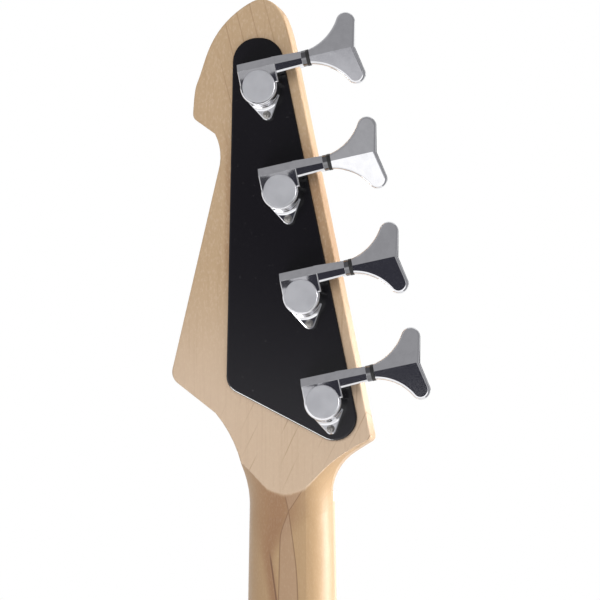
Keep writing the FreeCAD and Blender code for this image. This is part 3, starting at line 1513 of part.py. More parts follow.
def guard_shape():
    sheet_face = Part.Face(guard_outline()).extrude(Vector(0, mm("guard_thickness"), 0))
    sheet_face.translate(Vector(0, body_top, 0))
    rims = []
    for edge in sheet_face.Edges:
        if edge.BoundBox.YMin > guard_top - 0.001:
            rims.append(edge)
    sheet_face = sheet_face.makeChamfer(mm("guard_thickness") * 0.5, rims)
    gap = mm("guard_gap")
    reach = board_end + 200
    neck_room = prism([
        Vector(half_width(reach) + gap, body_top - 5, reach),
        Vector(-half_width(reach) - gap, body_top - 5, reach),
        Vector(-half_width(board_end) - gap, body_top - 5, board_end - gap),
        Vector(half_width(board_end) + gap, body_top - 5, board_end - gap),
    ], Vector(0, 30, 0))
    cuts = [neck_room]
    for half in pickup_halves:
        cuts.append(pickup_block(half, gap, guard_top + 5, 20))
    for spot in (volume_spot, tone_spot, jack_spot):
        cuts.append(drop_from(spot, guard_top + 5, mm("bush_radius") + mm("seat_gap"), 20))
    for spot in guard_screw_spots:
        cuts.append(drop_from(spot, guard_top + 5, mm("guard_screw_shank") + mm("clear_gap"), 20))
    return sheet_face.cut(cuts)


solid_piece("pickguard", guard_shape())
guard_screw = screw_master("guard_screw_master", cell("guard_screw_head"), as_size(1.5),
                           cell("guard_screw_shank"), cell("guard_screw_length"))
group("pickguard_screws", guard_screw, [front_place(s.x, guard_top, s.z) for s in guard_screw_spots])


# Neck plate and screws


def make_neck_plate():
    body = new_body("neck_plate", Placement(Vector(0, body_back, neck_plate_middle), BACK))
    half = cell("neck_plate_width") / 2
    tall = cell("neck_plate_length") / 2
    sketch = sketch_on(body, "neck_plate_outline", "XY_Plane")
    draw_polygon(sketch, [(-half, -tall), (half, -tall), (half, tall), (-half, tall)])
    pad(body, sketch, cell("neck_plate_thickness"))
    round_edges(body, "neck_plate_corners", as_size(5), upright)
    round_edges(body, "neck_plate_rim", as_size(0.5), level_at(mm("neck_plate_thickness")))
    holes = sketch_on(body, "neck_plate_holes", "XY_Plane")
    for side in (1, -1):
        for along in (1, -1):
            draw_circle(holes, cell("neck_screw_side") * side, cell("neck_screw_along") * along,
                        cell("neck_screw_shank") + cell("clear_gap"))
    pocket(body, holes)
    keep(body)


make_neck_plate()
neck_screw = screw_master("neck_screw_master", cell("neck_screw_shank") * 1.9, as_size(2.2),
                          cell("neck_screw_shank"), cell("neck_screw_length"))
plate_outside = body_back - mm("neck_plate_thickness")
neck_screw_places = [Placement(Vector(x, plate_outside, z), BACK) for x, z in neck_screw_spots]
group("neck_screws", neck_screw, neck_screw_places)


# Split pickup


def make_pickup():
    top = cell("pickup_height")
    half = cell("pickup_width") / 2
    tall = cell("pickup_length") / 2
    wall = cell("pickup_wall")
    body = new_body("cover_master")
    sketch = sketch_on(body, "cover_outline", "XY_Plane")
    draw_polygon(sketch, [(-half, -tall), (half, -tall), (half, tall), (-half, tall)])
    pad(body, sketch, top)
    round_edges(body, "cover_corners", cell("pickup_corner"), upright)
    round_edges(body, "cover_rim", as_size(1.2), level_at(mm("pickup_height")))
    inner = sketch_on(body, "cover_inside", "XY_Plane", top - wall)
    inside = half - 8
    draw_polygon(inner, [(-inside, wall - tall), (inside, wall - tall), (inside, tall - wall),
                         (-inside, tall - wall)])
    pocket(body, inner, top)
    holes = sketch_on(body, "cover_holes", "XY_Plane")
    pole_places = pole_offsets()
    for x in pole_places:
        draw_circle(holes, x, 0, cell("pole_radius") + cell("seat_gap"))
    for side in (1, -1):
        draw_circle(holes, (half - 3.6) * side, 0, cell("guard_screw_shank") + cell("clear_gap"))
    pocket(body, holes)
    coil = new_body("coil_master")
    ring = sketch_on(coil, "coil_outline", "XY_Plane", as_size(1.0))
    inset = inside - 0.4
    rise = tall - wall - 0.4
    draw_polygon(ring, [(-inset, -rise), (inset, -rise), (inset, rise), (-inset, rise)])
    pad(coil, ring, top - wall - 1.2)
    round_edges(coil, "coil_corners", as_size(6), upright)
    bores = sketch_on(coil, "coil_bores", "XY_Plane")
    for x in pole_places:
        draw_circle(bores, x, 0, cell("pole_radius") + cell("seat_gap"))
    pocket(coil, bores)
    pole = turned("pole_master", [
        (0, 0.6),
        (cell("pole_radius"), 0.6),
        (cell("pole_radius"), top + cell("pole_proud") - 0.3),
        (cell("pole_radius") - 0.3, top + cell("pole_proud")),
        (0, top + cell("pole_proud")),
    ])
    foot = -mm("pickup_top") - mm("pickup_height")
    places = [front_place(spot.x, foot, spot.z) for spot in pickup_halves]
    group("pickup_covers", body, places)
    group("pickup_coils", coil, places)
    pole_spots = []
    for spot in pickup_halves:
        for x in pole_places:
            pole_spots.append(front_place(spot.x + x.value, foot, spot.z))
    group("pole_pieces", pole, pole_spots)
    screw = screw_master("height_screw_master", as_size(2.6), as_size(1.4), cell("guard_screw_shank"),
                         as_size(36))
    screw_spots = []
    for spot in pickup_halves:
        for side in (1, -1):
            screw_spots.append(front_place(spot.x + side * pickup_screw_reach, -mm("pickup_top"), spot.z))
    group("pickup_screws", screw, screw_spots)


def pole_offsets():
    """Two pole pieces under each string, for the two strings of one half."""
    share = as_size(1 - mm("pickup_middle") / mm("scale_length"))
    span = cell("nut_string_span") + (cell("bridge_string_span") - cell("nut_string_span")) * share
    gap = span / 6
    return [gap * side + cell("pole_offset") * shift for side in (-1, 1) for shift in (-1, 1)]


make_pickup()


# Controls: potentiometers, shafts, knobs, jack and leads


def make_controls():
    can = turned("pot_master", [
        (cell("pot_shaft") + cell("running_gap"), -cell("pot_depth") + 1.2),
        (0, -cell("pot_depth") + 1.2),
        (0, -cell("pot_depth")),
        (cell("pot_radius"), -cell("pot_depth")),
        (cell("pot_radius"), 0),
        (cell("bush_radius"), 0),
        (cell("bush_radius"), cell("bush_height")),
        (cell("pot_shaft") + cell("running_gap"), cell("bush_height")),
    ])
    spots = (volume_spot, tone_spot)
    group("potentiometers", can, [front_place(s.x, body_top, s.z) for s in spots])
    nut = new_body("panel_nut_master")
    sketch = sketch_on(nut, "panel_nut_outline", "XY_Plane")
    draw_polygon(sketch, hexagon(cell("panel_nut_flats")))
    pad(nut, sketch, cell("panel_nut_height"))
    bore = sketch_on(nut, "panel_nut_bore", "XY_Plane")
    draw_circle(bore, 0, 0, cell("bush_radius") + cell("seat_gap"))
    pocket(nut, bore)
    panel = (volume_spot, tone_spot, jack_spot)
    group("control_nuts", nut, [front_place(s.x, guard_top, s.z) for s in panel])
    for name, spot in (("volume", volume_spot), ("tone", tone_spot)):
        place = front_place(spot.x, body_top, spot.z)
        keep(turned(name + "_shaft", [
            (0, -cell("pot_depth") + 1.5),
            (cell("pot_shaft"), -cell("pot_depth") + 1.5),
            (cell("pot_shaft"), cell("pot_shaft_reach")),
            (0, cell("pot_shaft_reach")),
        ], place))
        foot = cell("guard_thickness") + cell("knob_lift")
        hollow = cell("bush_height") + 0.6
        top = foot + cell("knob_height")
        room = cell("panel_nut_flats") * 0.578 + cell("clear_gap")
        keep(turned(name + "_knob", [
            (room, foot),
            (cell("knob_radius"), foot),
            (cell("knob_radius"), foot + 1.5),
            (cell("knob_radius") - 0.5, foot + 2.0),
            (cell("knob_radius") - 0.5, top - 2.0),
            (cell("knob_radius") - 1.8, top),
            (0, top),
            (0, cell("pot_shaft_reach") + 0.1),
            (cell("pot_shaft") + cell("seat_gap"), cell("pot_shaft_reach") + 0.1),
            (cell("pot_shaft") + cell("seat_gap"), hollow),
            (room, hollow),
        ], place))


def make_jack():
    place = front_place(jack_spot.x, body_top, jack_spot.z)
    top = cell("guard_thickness") + cell("panel_nut_height") + 0.8
    foot = cell("guard_thickness") - cell("jack_depth")
    sleeve = turned("jack_sleeve", [
        (cell("jack_bore"), foot),
        (cell("bush_radius") + 1.5, foot),
        (cell("bush_radius") + 1.5, foot + 3),
        (cell("bush_radius"), foot + 3),
        (cell("bush_radius"), -3),
        (cell("bush_radius") + 3.5, -3),
        (cell("bush_radius") + 3.5, 0),
        (cell("bush_radius"), 0),
        (cell("bush_radius"), top),
        (cell("jack_bore"), top),
    ])
    doc.recompute()
    leaf = block(Vector(4.6, -2, foot.value - 16), Vector(5.4, 2, foot.value))
    hook = block(Vector(1.2, -2, foot.value - 16.8), Vector(5.4, 2, foot.value - 16))
    contact = leaf.fuse(hook).removeSplitter()
    shapes = [placed(sleeve.Shape, place), placed(contact, place)]
    solid_piece("output_jack", Part.makeCompound(shapes))


make_controls()
make_jack()


# Routes of straight runs joined by tangent arcs


def tangent_arc(start, heading, end):
    """The arc that leaves start along heading and reaches end."""
    chord = end - start
    forward = Vector(chord)
    forward.normalize()
    side = heading - forward * heading.dot(forward)
    if side.Length < 1e-9:
        return line_edge(start, end)
    turn = math.atan2(side.Length, heading.dot(forward))
    side.normalize()
    middle = start + chord * 0.5 + side * (chord.Length / 2 * math.tan(turn / 2))
    return arc_edge(start, middle, end)


def biarc(start, heading, end, leaving):
    """Two arcs that join two places with given directions."""
    gap = end - start
    both = heading + leaving
    shared = gap.dot(both)
    spread = 2 * (1 - heading.dot(leaving))
    reach = (math.sqrt(shared * shared + spread * gap.dot(gap)) - shared) / spread
    middle = (start + heading * reach + end - leaving * reach) * 0.5
    first = tangent_arc(start, heading, middle)
    second = tangent_arc(end, leaving * -1, middle)
    return [first, second]


def bent_route(points, radius):
    """Edges along the points, each inner corner rounded to the radius or as far as its runs allow."""
    edges = []
    here = points[0]
    for before, corner, after in zip(points, points[1:], points[2:]):
        back = before - corner
        ahead = after - corner
        shorter = min(back.Length, ahead.Length)
        back.normalize()
        ahead.normalize()
        turn = math.pi - back.getAngle(ahead)
        cut = min(radius * math.tan(turn / 2), 0.45 * shorter)
        start = corner + back * cut
        end = corner + ahead * cut
        edges.append(line_edge(here, start))
        edges.append(tangent_arc(start, back * -1, end))
        here = end
    return edges, here


def tube(edges, radius):
    path = Part.Wire(edges)
    first = path.OrderedEdges[0]
    start = first.valueAt(first.FirstParameter)
    heading = first.tangentAt(first.FirstParameter)
    sweep = Part.BRepOffsetAPI.MakePipeShell(path)
    sweep.add(circle_wire(start, radius, heading))
    sweep.build()
    sweep.makeSolid()
    shape = sweep.shape()
    expected = math.pi * radius * radius * path.Length
    if abs(shape.Volume / expected - 1) > 0.01:
        raise RuntimeError("tube volume %.1f, expected %.1f" % (shape.Volume, expected))
    return shape


# Strings, from the ball end over saddle and nut to the turns on the post


def string_at_saddle(index):
    back = saddle_line - mm("saddle_step") * (3 - index)
    return Vector(mm("bridge_string_span") * fan[index], mm("string_lift_saddle") + gauges[index] / 2, back)


bridge_rear = saddle_line + mm("bridge_front") - mm("bridge_length")
wall_back = bridge_rear - mm("bridge_wall")
tree_lift = -mm("tree_press")
waist_foot = head_front + mm("bushing_head") + mm("clear_gap") + 1.5


def winding(index, arrival):
    """Turns on a post: the string comes in along its treble side and climbs away from the head."""
    radius = gauges[index] / 2
    post = posts[index]
    turn_radius = mm("post_waist") + mm("clear_gap") + radius
    pitch = gauges[index] + mm("winding_gap")
    low = waist_foot + mm("clear_gap") + radius
    across = post.x - arrival.x
    rise = post.z - arrival.z
    distance = math.hypot(across, rise)
    heading = math.atan2(rise, across) + math.asin(turn_radius / distance)
    touch = heading + math.pi / 2

    def spot(turn):
        angle = touch - turn
        return Vector(post.x + turn_radius * math.cos(angle), low + pitch * turn / (2 * math.pi),
                      post.z + turn_radius * math.sin(angle))

    def direction(turn):
        angle = touch - turn
        way = Vector(turn_radius * math.sin(angle), pitch / (2 * math.pi), -turn_radius * math.cos(angle))
        way.normalize()
        return way

    return spot, direction


def least_gap(points, radius, turn_steps):
    """Smallest space between neighbouring turns, measured on points along the winding."""
    least = 1e9
    for first in range(len(points)):
        for second in range(first + turn_steps // 2, len(points)):
            least = min(least, (points[first] - points[second]).Length)
    return least - 2 * radius


def string_shape(index):
    radius = gauges[index] / 2
    saddle = string_at_saddle(index)
    nut = string_at_nut(index)
    ball = Vector(saddle.x, mm("ball_drop"), wall_back - mm("ball_radius"))
    points = [ball, saddle, nut]
    if index >= 2:
        spot, direction = winding(index, nut)
        far = spot(0)
        share = (mm("tree_rise") - nut.z) / (far.z - nut.z)
        points.append(Vector(nut.x + (far.x - nut.x) * share, tree_lift, mm("tree_rise")))
    spot, direction = winding(index, points[-1])
    touch = spot(0)
    arrival = points[-1]
    run = touch - arrival
    lead_in = touch - run * (10.0 / run.Length)
    edges, here = bent_route(points + [lead_in], mm("string_bend"))
    edges.append(line_edge(here, lead_in))
    run.normalize()
    quarter = math.pi / 2
    edges = edges + biarc(lead_in, run, spot(quarter / 2), direction(quarter / 2))
    steps = int(round(mm("winding_turns") * 4))
    for step in range(steps):
        start = quarter * (step + 0.5)
        end = start + quarter
        edges = edges + biarc(spot(start), direction(start), spot(end), direction(end))
    samples = [spot(quarter / 8 * step) for step in range(8 * steps)]
    print("string %d: least gap between turns %.2f mm" % (index + 1, least_gap(samples, radius, 32)))
    wire = tube(edges, radius)
    return wire.fuse(Part.makeSphere(mm("ball_radius"), ball))


solid_piece("strings", Part.makeCompound([string_shape(index) for index in range(4)]))


def string_tree_shape():
    top = tree_lift + mm("gauge_d") / 2 + 0.1
    bar = block(Vector(tree_spot.x - 8.5, top, tree_spot.z - 3),
                Vector(tree_spot.x + 8.5, 2.0, tree_spot.z + 3))
    bar = bar.makeFillet(0.8, bar.Edges)
    stem = rod(Vector(tree_spot.x, head_front, tree_spot.z),
               Vector(tree_spot.x, top + 0.5, tree_spot.z), 2.8)
    hole = rod(Vector(tree_spot.x, head_front - 1, tree_spot.z), Vector(tree_spot.x, 4, tree_spot.z),
               mm("tuner_screw_shank") + mm("seat_gap"))
    return bar.fuse(stem).removeSplitter().cut(hole)


solid_piece("string_tree", string_tree_shape())


# Bridge


def make_bridge():
    body = new_body("bridge_plate", front_place(0, body_top, saddle_line + mm("bridge_front")))
    half = cell("bridge_width") / 2
    length = cell("bridge_length")
    sketch = sketch_on(body, "bridge_outline", "XY_Plane")
    draw_polygon(sketch, [(-half, 0), (half, 0), (half, length), (-half, length)])
    pad(body, sketch, cell("bridge_thickness"))
    wall = sketch_on(body, "bridge_wall_outline", "XY_Plane")
    draw_polygon(wall, [(-half, length), (half, length), (half, length + cell("bridge_wall")),
                        (-half, length + cell("bridge_wall"))])
    pad(body, wall, cell("bridge_wall_height"))
    round_edges(body, "bridge_corners", cell("bridge_corner"),
                lambda edge: upright(edge) and edge.Vertexes[0].Point.y < 1)
    holes = sketch_on(body, "bridge_screw_holes", "XY_Plane")
    for x in BRIDGE_SCREW_SIDES:
        draw_circle(holes, x, cell("bridge_screw_back"), cell("wood_screw_shank") + cell("clear_gap"))
    pocket(body, holes)
    ports = sketch_on(body, "bridge_ports", "XZ_Plane")
    for share in fan:
        x = cell("bridge_string_span") * share
        draw_circle(ports, x, cell("body_drop") - cell("saddle_screw_axis"),
                    cell("saddle_screw") + cell("running_gap"))
        draw_circle(ports, x, cell("body_drop") + cell("ball_drop") + 0.2, cell("gauge_e") / 2 + 0.35)
    pocket(body, ports)
    keep(body)


make_bridge()


def saddle_shape(index):
    """Saddle with its groove, its two height screws and the threaded hole for its long screw."""
    crest = string_at_saddle(index)
    radius = gauges[index] / 2
    half = mm("saddle_width") / 2
    low = bridge_plate_top + mm("clear_gap")
    top = mm("string_lift_saddle") + mm("saddle_crest")
    front = crest.z + mm("saddle_length") / 2
    rear = crest.z - mm("saddle_length") / 2
    base = block(Vector(crest.x - half, low, rear), Vector(crest.x + half, top, front))
    rims = [edge for edge in base.Edges if edge.BoundBox.YMin > top - 0.001 and edge.BoundBox.XMax
            - edge.BoundBox.XMin > 1]
    base = base.makeFillet(3.0, rims)
    groove_foot = mm("string_lift_saddle") - mm("running_gap") - mm("seat_gap")
    wide = radius + mm("clear_gap") + 0.15
    groove = prism([
        Vector(crest.x - wide, groove_foot - 1.2, rear - 1),
        Vector(crest.x - wide, groove_foot, crest.z - 0.6),
        Vector(crest.x - wide, groove_foot, crest.z + 0.6),
        Vector(crest.x - wide, groove_foot - 0.6, front + 1),
        Vector(crest.x - wide, top + 5, front + 1),
        Vector(crest.x - wide, top + 5, rear - 1),
    ], Vector(2 * wide, 0, 0))
    bore = rod(Vector(crest.x, -mm("saddle_screw_axis"), rear - 1),
               Vector(crest.x, -mm("saddle_screw_axis"), front + 1), mm("saddle_screw") + mm("running_gap"))
    cuts = [groove, bore]
    screws = []
    for side in (1, -1):
        x = crest.x + side * (half - 3.0)
        hole = rod(Vector(x, low - 1, crest.z), Vector(x, top + 1, crest.z),
                   mm("saddle_screw") + mm("seat_gap"))
        screw = rod(Vector(x, bridge_plate_top + 0.1, crest.z), Vector(x, top + 0.6, crest.z),
                    mm("saddle_screw"))
        socket = rod(Vector(x, top - 1.4, crest.z), Vector(x, top + 2, crest.z), mm("saddle_screw") * 0.5)
        cuts.append(hole)
        screws.append(screw.cut(socket))
    return Part.makeCompound([base.cut(cuts)] + screws)


def intonation_screw_shape(index):
    crest = string_at_saddle(index)
    axis = Vector(crest.x, -mm("saddle_screw_axis"), 0)
    head_start = wall_back - mm("clear_gap") * 0.3
    tip = crest.z + mm("saddle_length") / 2 + mm("saddle_travel")
    shank = rod(axis + Vector(0, 0, head_start), axis + Vector(0, 0, tip), mm("saddle_screw"))
    head = rod(axis + Vector(0, 0, head_start - 2.2), axis + Vector(0, 0, head_start),
               mm("saddle_screw_head"))
    slots = []
    for wide, tall in ((1.3, 0.3), (0.3, 1.3)):
        slots.append(block(axis + Vector(-wide, -tall, head_start - 3),
                           axis + Vector(wide, tall, head_start - 1.2)))
    return shank.fuse(head).removeSplitter().cut(slots)


for index in range(4):
    solid_piece("saddle_%d" % (index + 1), saddle_shape(index))
    solid_piece("intonation_screw_%d" % (index + 1), intonation_screw_shape(index))

bridge_screw = screw_master("bridge_screw_master", cell("wood_screw_head"), as_size(2.0),
                            cell("wood_screw_shank"), cell("bridge_screw_length"))
group("bridge_screws", bridge_screw, [front_place(s.x, bridge_plate_top, s.z) for s in bridge_screw_spots])


# Strap buttons

button = turned("strap_button_master", [
    (cell("wood_screw_shank") + cell("clear_gap"), 0),
    (cell("strap_button_radius") - 0.6, 0),
    (cell("strap_button_radius") - 0.6, 1.6),
    (cell("strap_button_waist"), 3.4),
    (cell("strap_button_waist"), cell("strap_button_height") - 4.4),
    (cell("strap_button_radius"), cell("strap_button_height") - 2.2),
    (cell("strap_button_radius"), cell("strap_button_height") - 0.8),
    (cell("strap_button_radius") - 0.8, cell("strap_button_height")),
    (cell("wood_screw_shank") + cell("clear_gap"), cell("strap_button_height")),
])
group("strap_buttons", button, strap_seats())
strap_screw = screw_master("strap_screw_master", cell("wood_screw_head"), as_size(2.0),
                           cell("wood_screw_shank"), cell("strap_screw_length"))
button_top = Placement(Vector(0, 0, mm("strap_button_height")), Rotation())
group("strap_screws", strap_screw, [seat.multiply(button_top) for seat in strap_seats()])


# Leads inside the body


def lead_points(start, end, leave, arrive, sag):
    """A lead between two components, a little way off each, hanging in the middle."""
    along = end - start
    along.normalize()
    first = start + along * leave
    last = end - along * arrive
    middle = (first + last) * 0.5
    return [
        first + Vector(0, body_top - 6, 0),
        middle + Vector(0, body_top - sag, 0),
        last + Vector(0, body_top - 6, 0),
    ]


def wiring_shape():
    radius = mm("lead_radius")
    can = mm("pot_radius") + 0.7 * radius
    sleeve = mm("bush_radius") + 1.5 + 0.8 * radius
    cover = mm("pickup_width") / 2 + 2.6
    runs = [
        lead_points(pickup_halves[1], volume_spot, cover, can, 9.0),
        lead_points(volume_spot, tone_spot, can, can, 16.0),
        lead_points(tone_spot, jack_spot, can, sleeve, 14.0),
    ]
    leads = []
    for points in runs:
        edges, here = bent_route(points, 5 * radius)
        edges.append(line_edge(here, points[-1]))
        leads.append(tube(edges, radius))
    return Part.makeCompound(leads)


solid_piece("wiring", wiring_shape())


# Check everything, then write one file for each piece

doc.recompute()
for thing in doc.Objects:
    if "Invalid" in thing.State or "Error" in thing.State:
        raise RuntimeError("%s failed: %s" % (thing.Name, thing.State))
for piece in pieces:
    shape = piece.Shape
    if shape.isNull() or not shape.isValid() or not shape.Solids:
        raise RuntimeError("%s has no valid solid" % piece.Label)
os.makedirs("parts", exist_ok=True)
for piece in pieces:
    piece.Shape.exportStep(os.path.join("parts", piece.Label + ".step"))
print("%d pieces written" % len(pieces))
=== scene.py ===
# %% [markdown]
# An electric bass guitar, seen from behind its head: pale maple, a black plate and four
# chrome tuners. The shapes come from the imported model, which stays exactly where it is.
# This lesson dresses them: it gives every piece its finish, adds the finer pieces that
# solids leave plain, and lights the whole as a plain product picture.

import math

import bmesh
import bpy
from mathutils import Matrix, Vector


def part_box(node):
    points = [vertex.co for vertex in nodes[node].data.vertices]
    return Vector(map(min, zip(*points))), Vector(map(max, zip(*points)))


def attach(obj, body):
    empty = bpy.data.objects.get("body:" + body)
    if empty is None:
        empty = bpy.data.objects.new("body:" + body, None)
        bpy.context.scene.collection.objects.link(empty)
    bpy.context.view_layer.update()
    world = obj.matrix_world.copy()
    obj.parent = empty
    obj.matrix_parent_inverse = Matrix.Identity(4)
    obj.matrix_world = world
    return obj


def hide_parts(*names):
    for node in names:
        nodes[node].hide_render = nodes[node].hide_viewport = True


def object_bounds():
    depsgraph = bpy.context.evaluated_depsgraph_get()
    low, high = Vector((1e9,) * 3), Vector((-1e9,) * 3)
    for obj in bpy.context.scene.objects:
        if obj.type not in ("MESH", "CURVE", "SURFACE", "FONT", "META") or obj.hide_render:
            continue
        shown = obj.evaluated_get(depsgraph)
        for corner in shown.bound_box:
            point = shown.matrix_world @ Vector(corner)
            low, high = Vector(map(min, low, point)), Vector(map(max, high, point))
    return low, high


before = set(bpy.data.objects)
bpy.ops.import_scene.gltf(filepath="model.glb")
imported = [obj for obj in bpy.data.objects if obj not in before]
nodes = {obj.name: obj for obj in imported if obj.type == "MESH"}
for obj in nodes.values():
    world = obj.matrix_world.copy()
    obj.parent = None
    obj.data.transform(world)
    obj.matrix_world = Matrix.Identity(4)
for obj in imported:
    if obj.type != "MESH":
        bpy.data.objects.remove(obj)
cad_low, cad_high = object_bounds()
scene = bpy.context.scene
MM = 0.001
print("pieces in the frame:", len(nodes))

# %% [markdown]
# The camera stands a little to the right of the head and a little below its middle, and
# looks slightly up. A long lens keeps the four tuners almost the same size. Angles and
# distance were solved from the places of the cap discs, the lug screws and the corners of
# the head.

# %% Camera
CAMERA_AZIMUTH = math.radians(9.75)
CAMERA_ELEVATION = math.radians(-2.93)
CAMERA_DISTANCE = 1.3608
CAMERA_TARGET = Vector((6.86, -23.0, 97.41)) * MM
FRAME_PIXELS = 600
FOCAL_PIXELS = 2814.0
SENSOR_WIDTH = 36.0
CLIP_NEAR = 0.01
CLIP_FAR = 50.0

back = Vector((math.sin(CAMERA_AZIMUTH) * math.cos(CAMERA_ELEVATION),
               -math.cos(CAMERA_AZIMUTH) * math.cos(CAMERA_ELEVATION),
               math.sin(CAMERA_ELEVATION)))
camera_data = bpy.data.cameras.new("camera")
camera_data.sensor_width = SENSOR_WIDTH
camera_data.lens = FOCAL_PIXELS / FRAME_PIXELS * SENSOR_WIDTH
camera_data.clip_start = CLIP_NEAR
camera_data.clip_end = CLIP_FAR
camera = bpy.data.objects.new("camera", camera_data)
camera.location = CAMERA_TARGET + back * CAMERA_DISTANCE
camera.rotation_mode = "QUATERNION"
camera.rotation_quaternion = (-back).to_track_quat("-Z", "Y")
scene.collection.objects.link(camera)
scene.camera = camera
print("lens, mm:", round(camera_data.lens, 1))

# %% [markdown]
# Shader maths reads best as plain arithmetic. One small class wraps a socket, so that
# `1 - mask` or `rings * 0.5` adds a Math node. One method makes every other node, for
# materials, cards and the room alike.

# %% Shader arithmetic


class Value:
    """A socket that can be used in Python arithmetic."""

    def __init__(self, tree, socket):
        self.tree = tree
        self.socket = socket

    def math(self, operation, *others):
        inputs = {0: self}
        for index, other in enumerate(others, start=1):
            inputs[index] = other
        return self.tree.node("ShaderNodeMath", {"operation": operation}, inputs)

    def __add__(self, other):
        return self.math("ADD", other)

    def __mul__(self, other):
        return self.math("MULTIPLY", other)

    def __sub__(self, other):
        return self.math("SUBTRACT", other)

    def __rsub__(self, other):
        return (self * -1.0) + other

    def __truediv__(self, other):
        return self.math("DIVIDE", other)

    __radd__ = __add__
    __rmul__ = __mul__

    def between(self, low, high):
        """0 below low, 1 above high, smooth between them."""
        settings = {"interpolation_type": "SMOOTHSTEP"}
        inputs = {"Value": self, "From Min": low, "From Max": high}
        return self.tree.node("ShaderNodeMapRange", settings, inputs)

    def near(self, reach, end):
        """1 within reach of zero on both sides, 0 beyond end."""
        return 1.0 - self.math("ABSOLUTE").between(reach, end)


class Tree:
    """The node tree of a material or a world, built from nothing."""

    def __init__(self, owner):
        owner.use_nodes = True
        self.tree = owner.node_tree
        self.tree.nodes.clear()

    def node(self, kind, settings=None, inputs=None, output=0):
        made = self.tree.nodes.new(kind)
        for name, setting in (settings or {}).items():
            setattr(made, name, setting)
        for name, value in (inputs or {}).items():
            self.feed(made.inputs[name], value)
        if len(made.outputs) == 0:
            return None
        return Value(self, made.outputs[output])

    def feed(self, socket, value):
        if isinstance(value, Value):
            self.tree.links.new(value.socket, socket)
        elif socket.type == "RGBA":
            socket.default_value = (*value[:3], 1.0)
        else:
            socket.default_value = value

    def siblings(self, value):
        """Every output of the node that a value comes from."""
        return [Value(self, socket) for socket in value.socket.node.outputs]


class Finish(Tree):
    """A material with one Principled shader."""

    def __init__(self, name, **fixed):
        self.material = bpy.data.materials.new(name)
        super().__init__(self.material)
        surface = self.node("ShaderNodeBsdfPrincipled")
        self.shader = surface.socket.node
        self.node("ShaderNodeOutputMaterial", None, {"Surface": surface})
        for socket, number in fixed.items():
            self.set(socket.replace("_", " "), number)

    def set(self, socket, value):
        self.feed(self.shader.inputs[socket], value)

    def place(self):
        """Where a point of the piece is, in metres."""
        return self.node("ShaderNodeTexCoord", output="Object")

    def split(self, vector):
        return self.siblings(self.node("ShaderNodeSeparateXYZ", None, {0: vector}))

    def noise(self, vector, scale, detail):
        inputs = {"Vector": vector, "Scale": scale, "Detail": detail}
        return self.node("ShaderNodeTexNoise", None, inputs)

    def grain(self, vector, stretch, detail):
        """Noise with its own scale along each axis."""
        settings = {"vector_type": "POINT"}
        stretched = self.node("ShaderNodeMapping", settings, {"Vector": vector, "Scale": stretch})
        return self.noise(stretched, 1.0, detail)

    def mix(self, share, first, second):
        """A colour between two, 0 giving the first."""
        return self.node("ShaderNodeMix", {"data_type": "RGBA"}, {0: share, 6: first, 7: second}, 2)

    def bump(self, height, strength, distance):
        inputs = {"Height": height, "Strength": strength, "Distance": distance}
        self.set("Normal", self.node("ShaderNodeBump", None, inputs))


dressed = set()


def dress(finish, *names):
    """Gives CAD nodes their finish."""
    for name in names:
        slots = nodes[name].data.materials
        slots.clear()
        slots.append(finish.material)
        dressed.add(name)


def ring_line(beat, start, crest, fall):
    """A growth ring: it darkens from start to crest and ends sharply from fall on."""
    return beat.between(start, crest) * (1.0 - beat.between(fall, 1.0))


print("shader classes:", [made.__name__ for made in (Value, Tree, Finish)])

# %% [markdown]
# Maple shows its growth rings as sparse thin lines, because the head is cut nearly along
# them. On the neck the rounded back cuts the same rings again, and where the neck is at
# its thinnest behind the nut two lines come together and part, like an hourglass. A
# picture of wood can't do that on a carved piece, so the rings are worked out in space:
# slanted sheets in the head, sheets along the neck's back further down. All places are in
# metres, all slopes are metres across for each metre up.

# %% Maple, its colours and lines
MAPLE_LIGHT = (0.645, 0.488, 0.355)
MAPLE_TAN = (0.492, 0.334, 0.188)
MAPLE_LINE = (0.34, 0.20, 0.105)
MAPLE_NECK = (0.478, 0.308, 0.158)
MAPLE_PAINTED_SHADE = (0.415, 0.264, 0.139)
MAPLE_SHADOW_BROWN = (0.315, 0.160, 0.076)
MAPLE_DEEP = (0.235, 0.125, 0.062)
MAPLE_DARK = (0.150, 0.062, 0.030)
MAPLE_PINK = (0.428, 0.270, 0.164)
MAPLE_PALE = (0.69, 0.545, 0.40)

# Rings of the head lean one way above UPPER_LEAN_START and the other below LOWER_LEAN_START
HEAD_RING = 0.0072
UPPER_LEAN_START = 0.115
UPPER_LEAN = 0.26
LOWER_LEAN_START = 0.048
LOWER_LEAN = -0.50

# The two lines of the neck meet here, and each bends into a flatter run below its knee
WAIST_RISE = -0.0046
WAIST_SIDE = 0.0008
RIGHT_UPPER = 0.71
RIGHT_LOWER = -0.145
RIGHT_RUN = -0.010
RIGHT_RUN_SIDE = 0.0041
RIGHT_KNEE = 0.0030
LEFT_UPPER = -0.20
LEFT_LOWER = 0.39
LEFT_RUN = 0.020
LEFT_RUN_SIDE = 0.0040
LEFT_KNEE = 0.0020
OUTER_RING = 0.0043


def head_lines(x, z, drift, sway, faint):
    upper = (z - UPPER_LEAN_START) * UPPER_LEAN
    lower = (z - LOWER_LEAN_START) * LOWER_LEAN
    lean = upper.math("MAXIMUM", lower).math("MAXIMUM", 0.0)
    across = x + lean + drift * 0.016 + sway * 0.0016
    line = ring_line((across / HEAD_RING).math("FRACT"), 0.88, 0.985, 0.985)
    return line * faint.between(0.42, 0.64) * 0.62


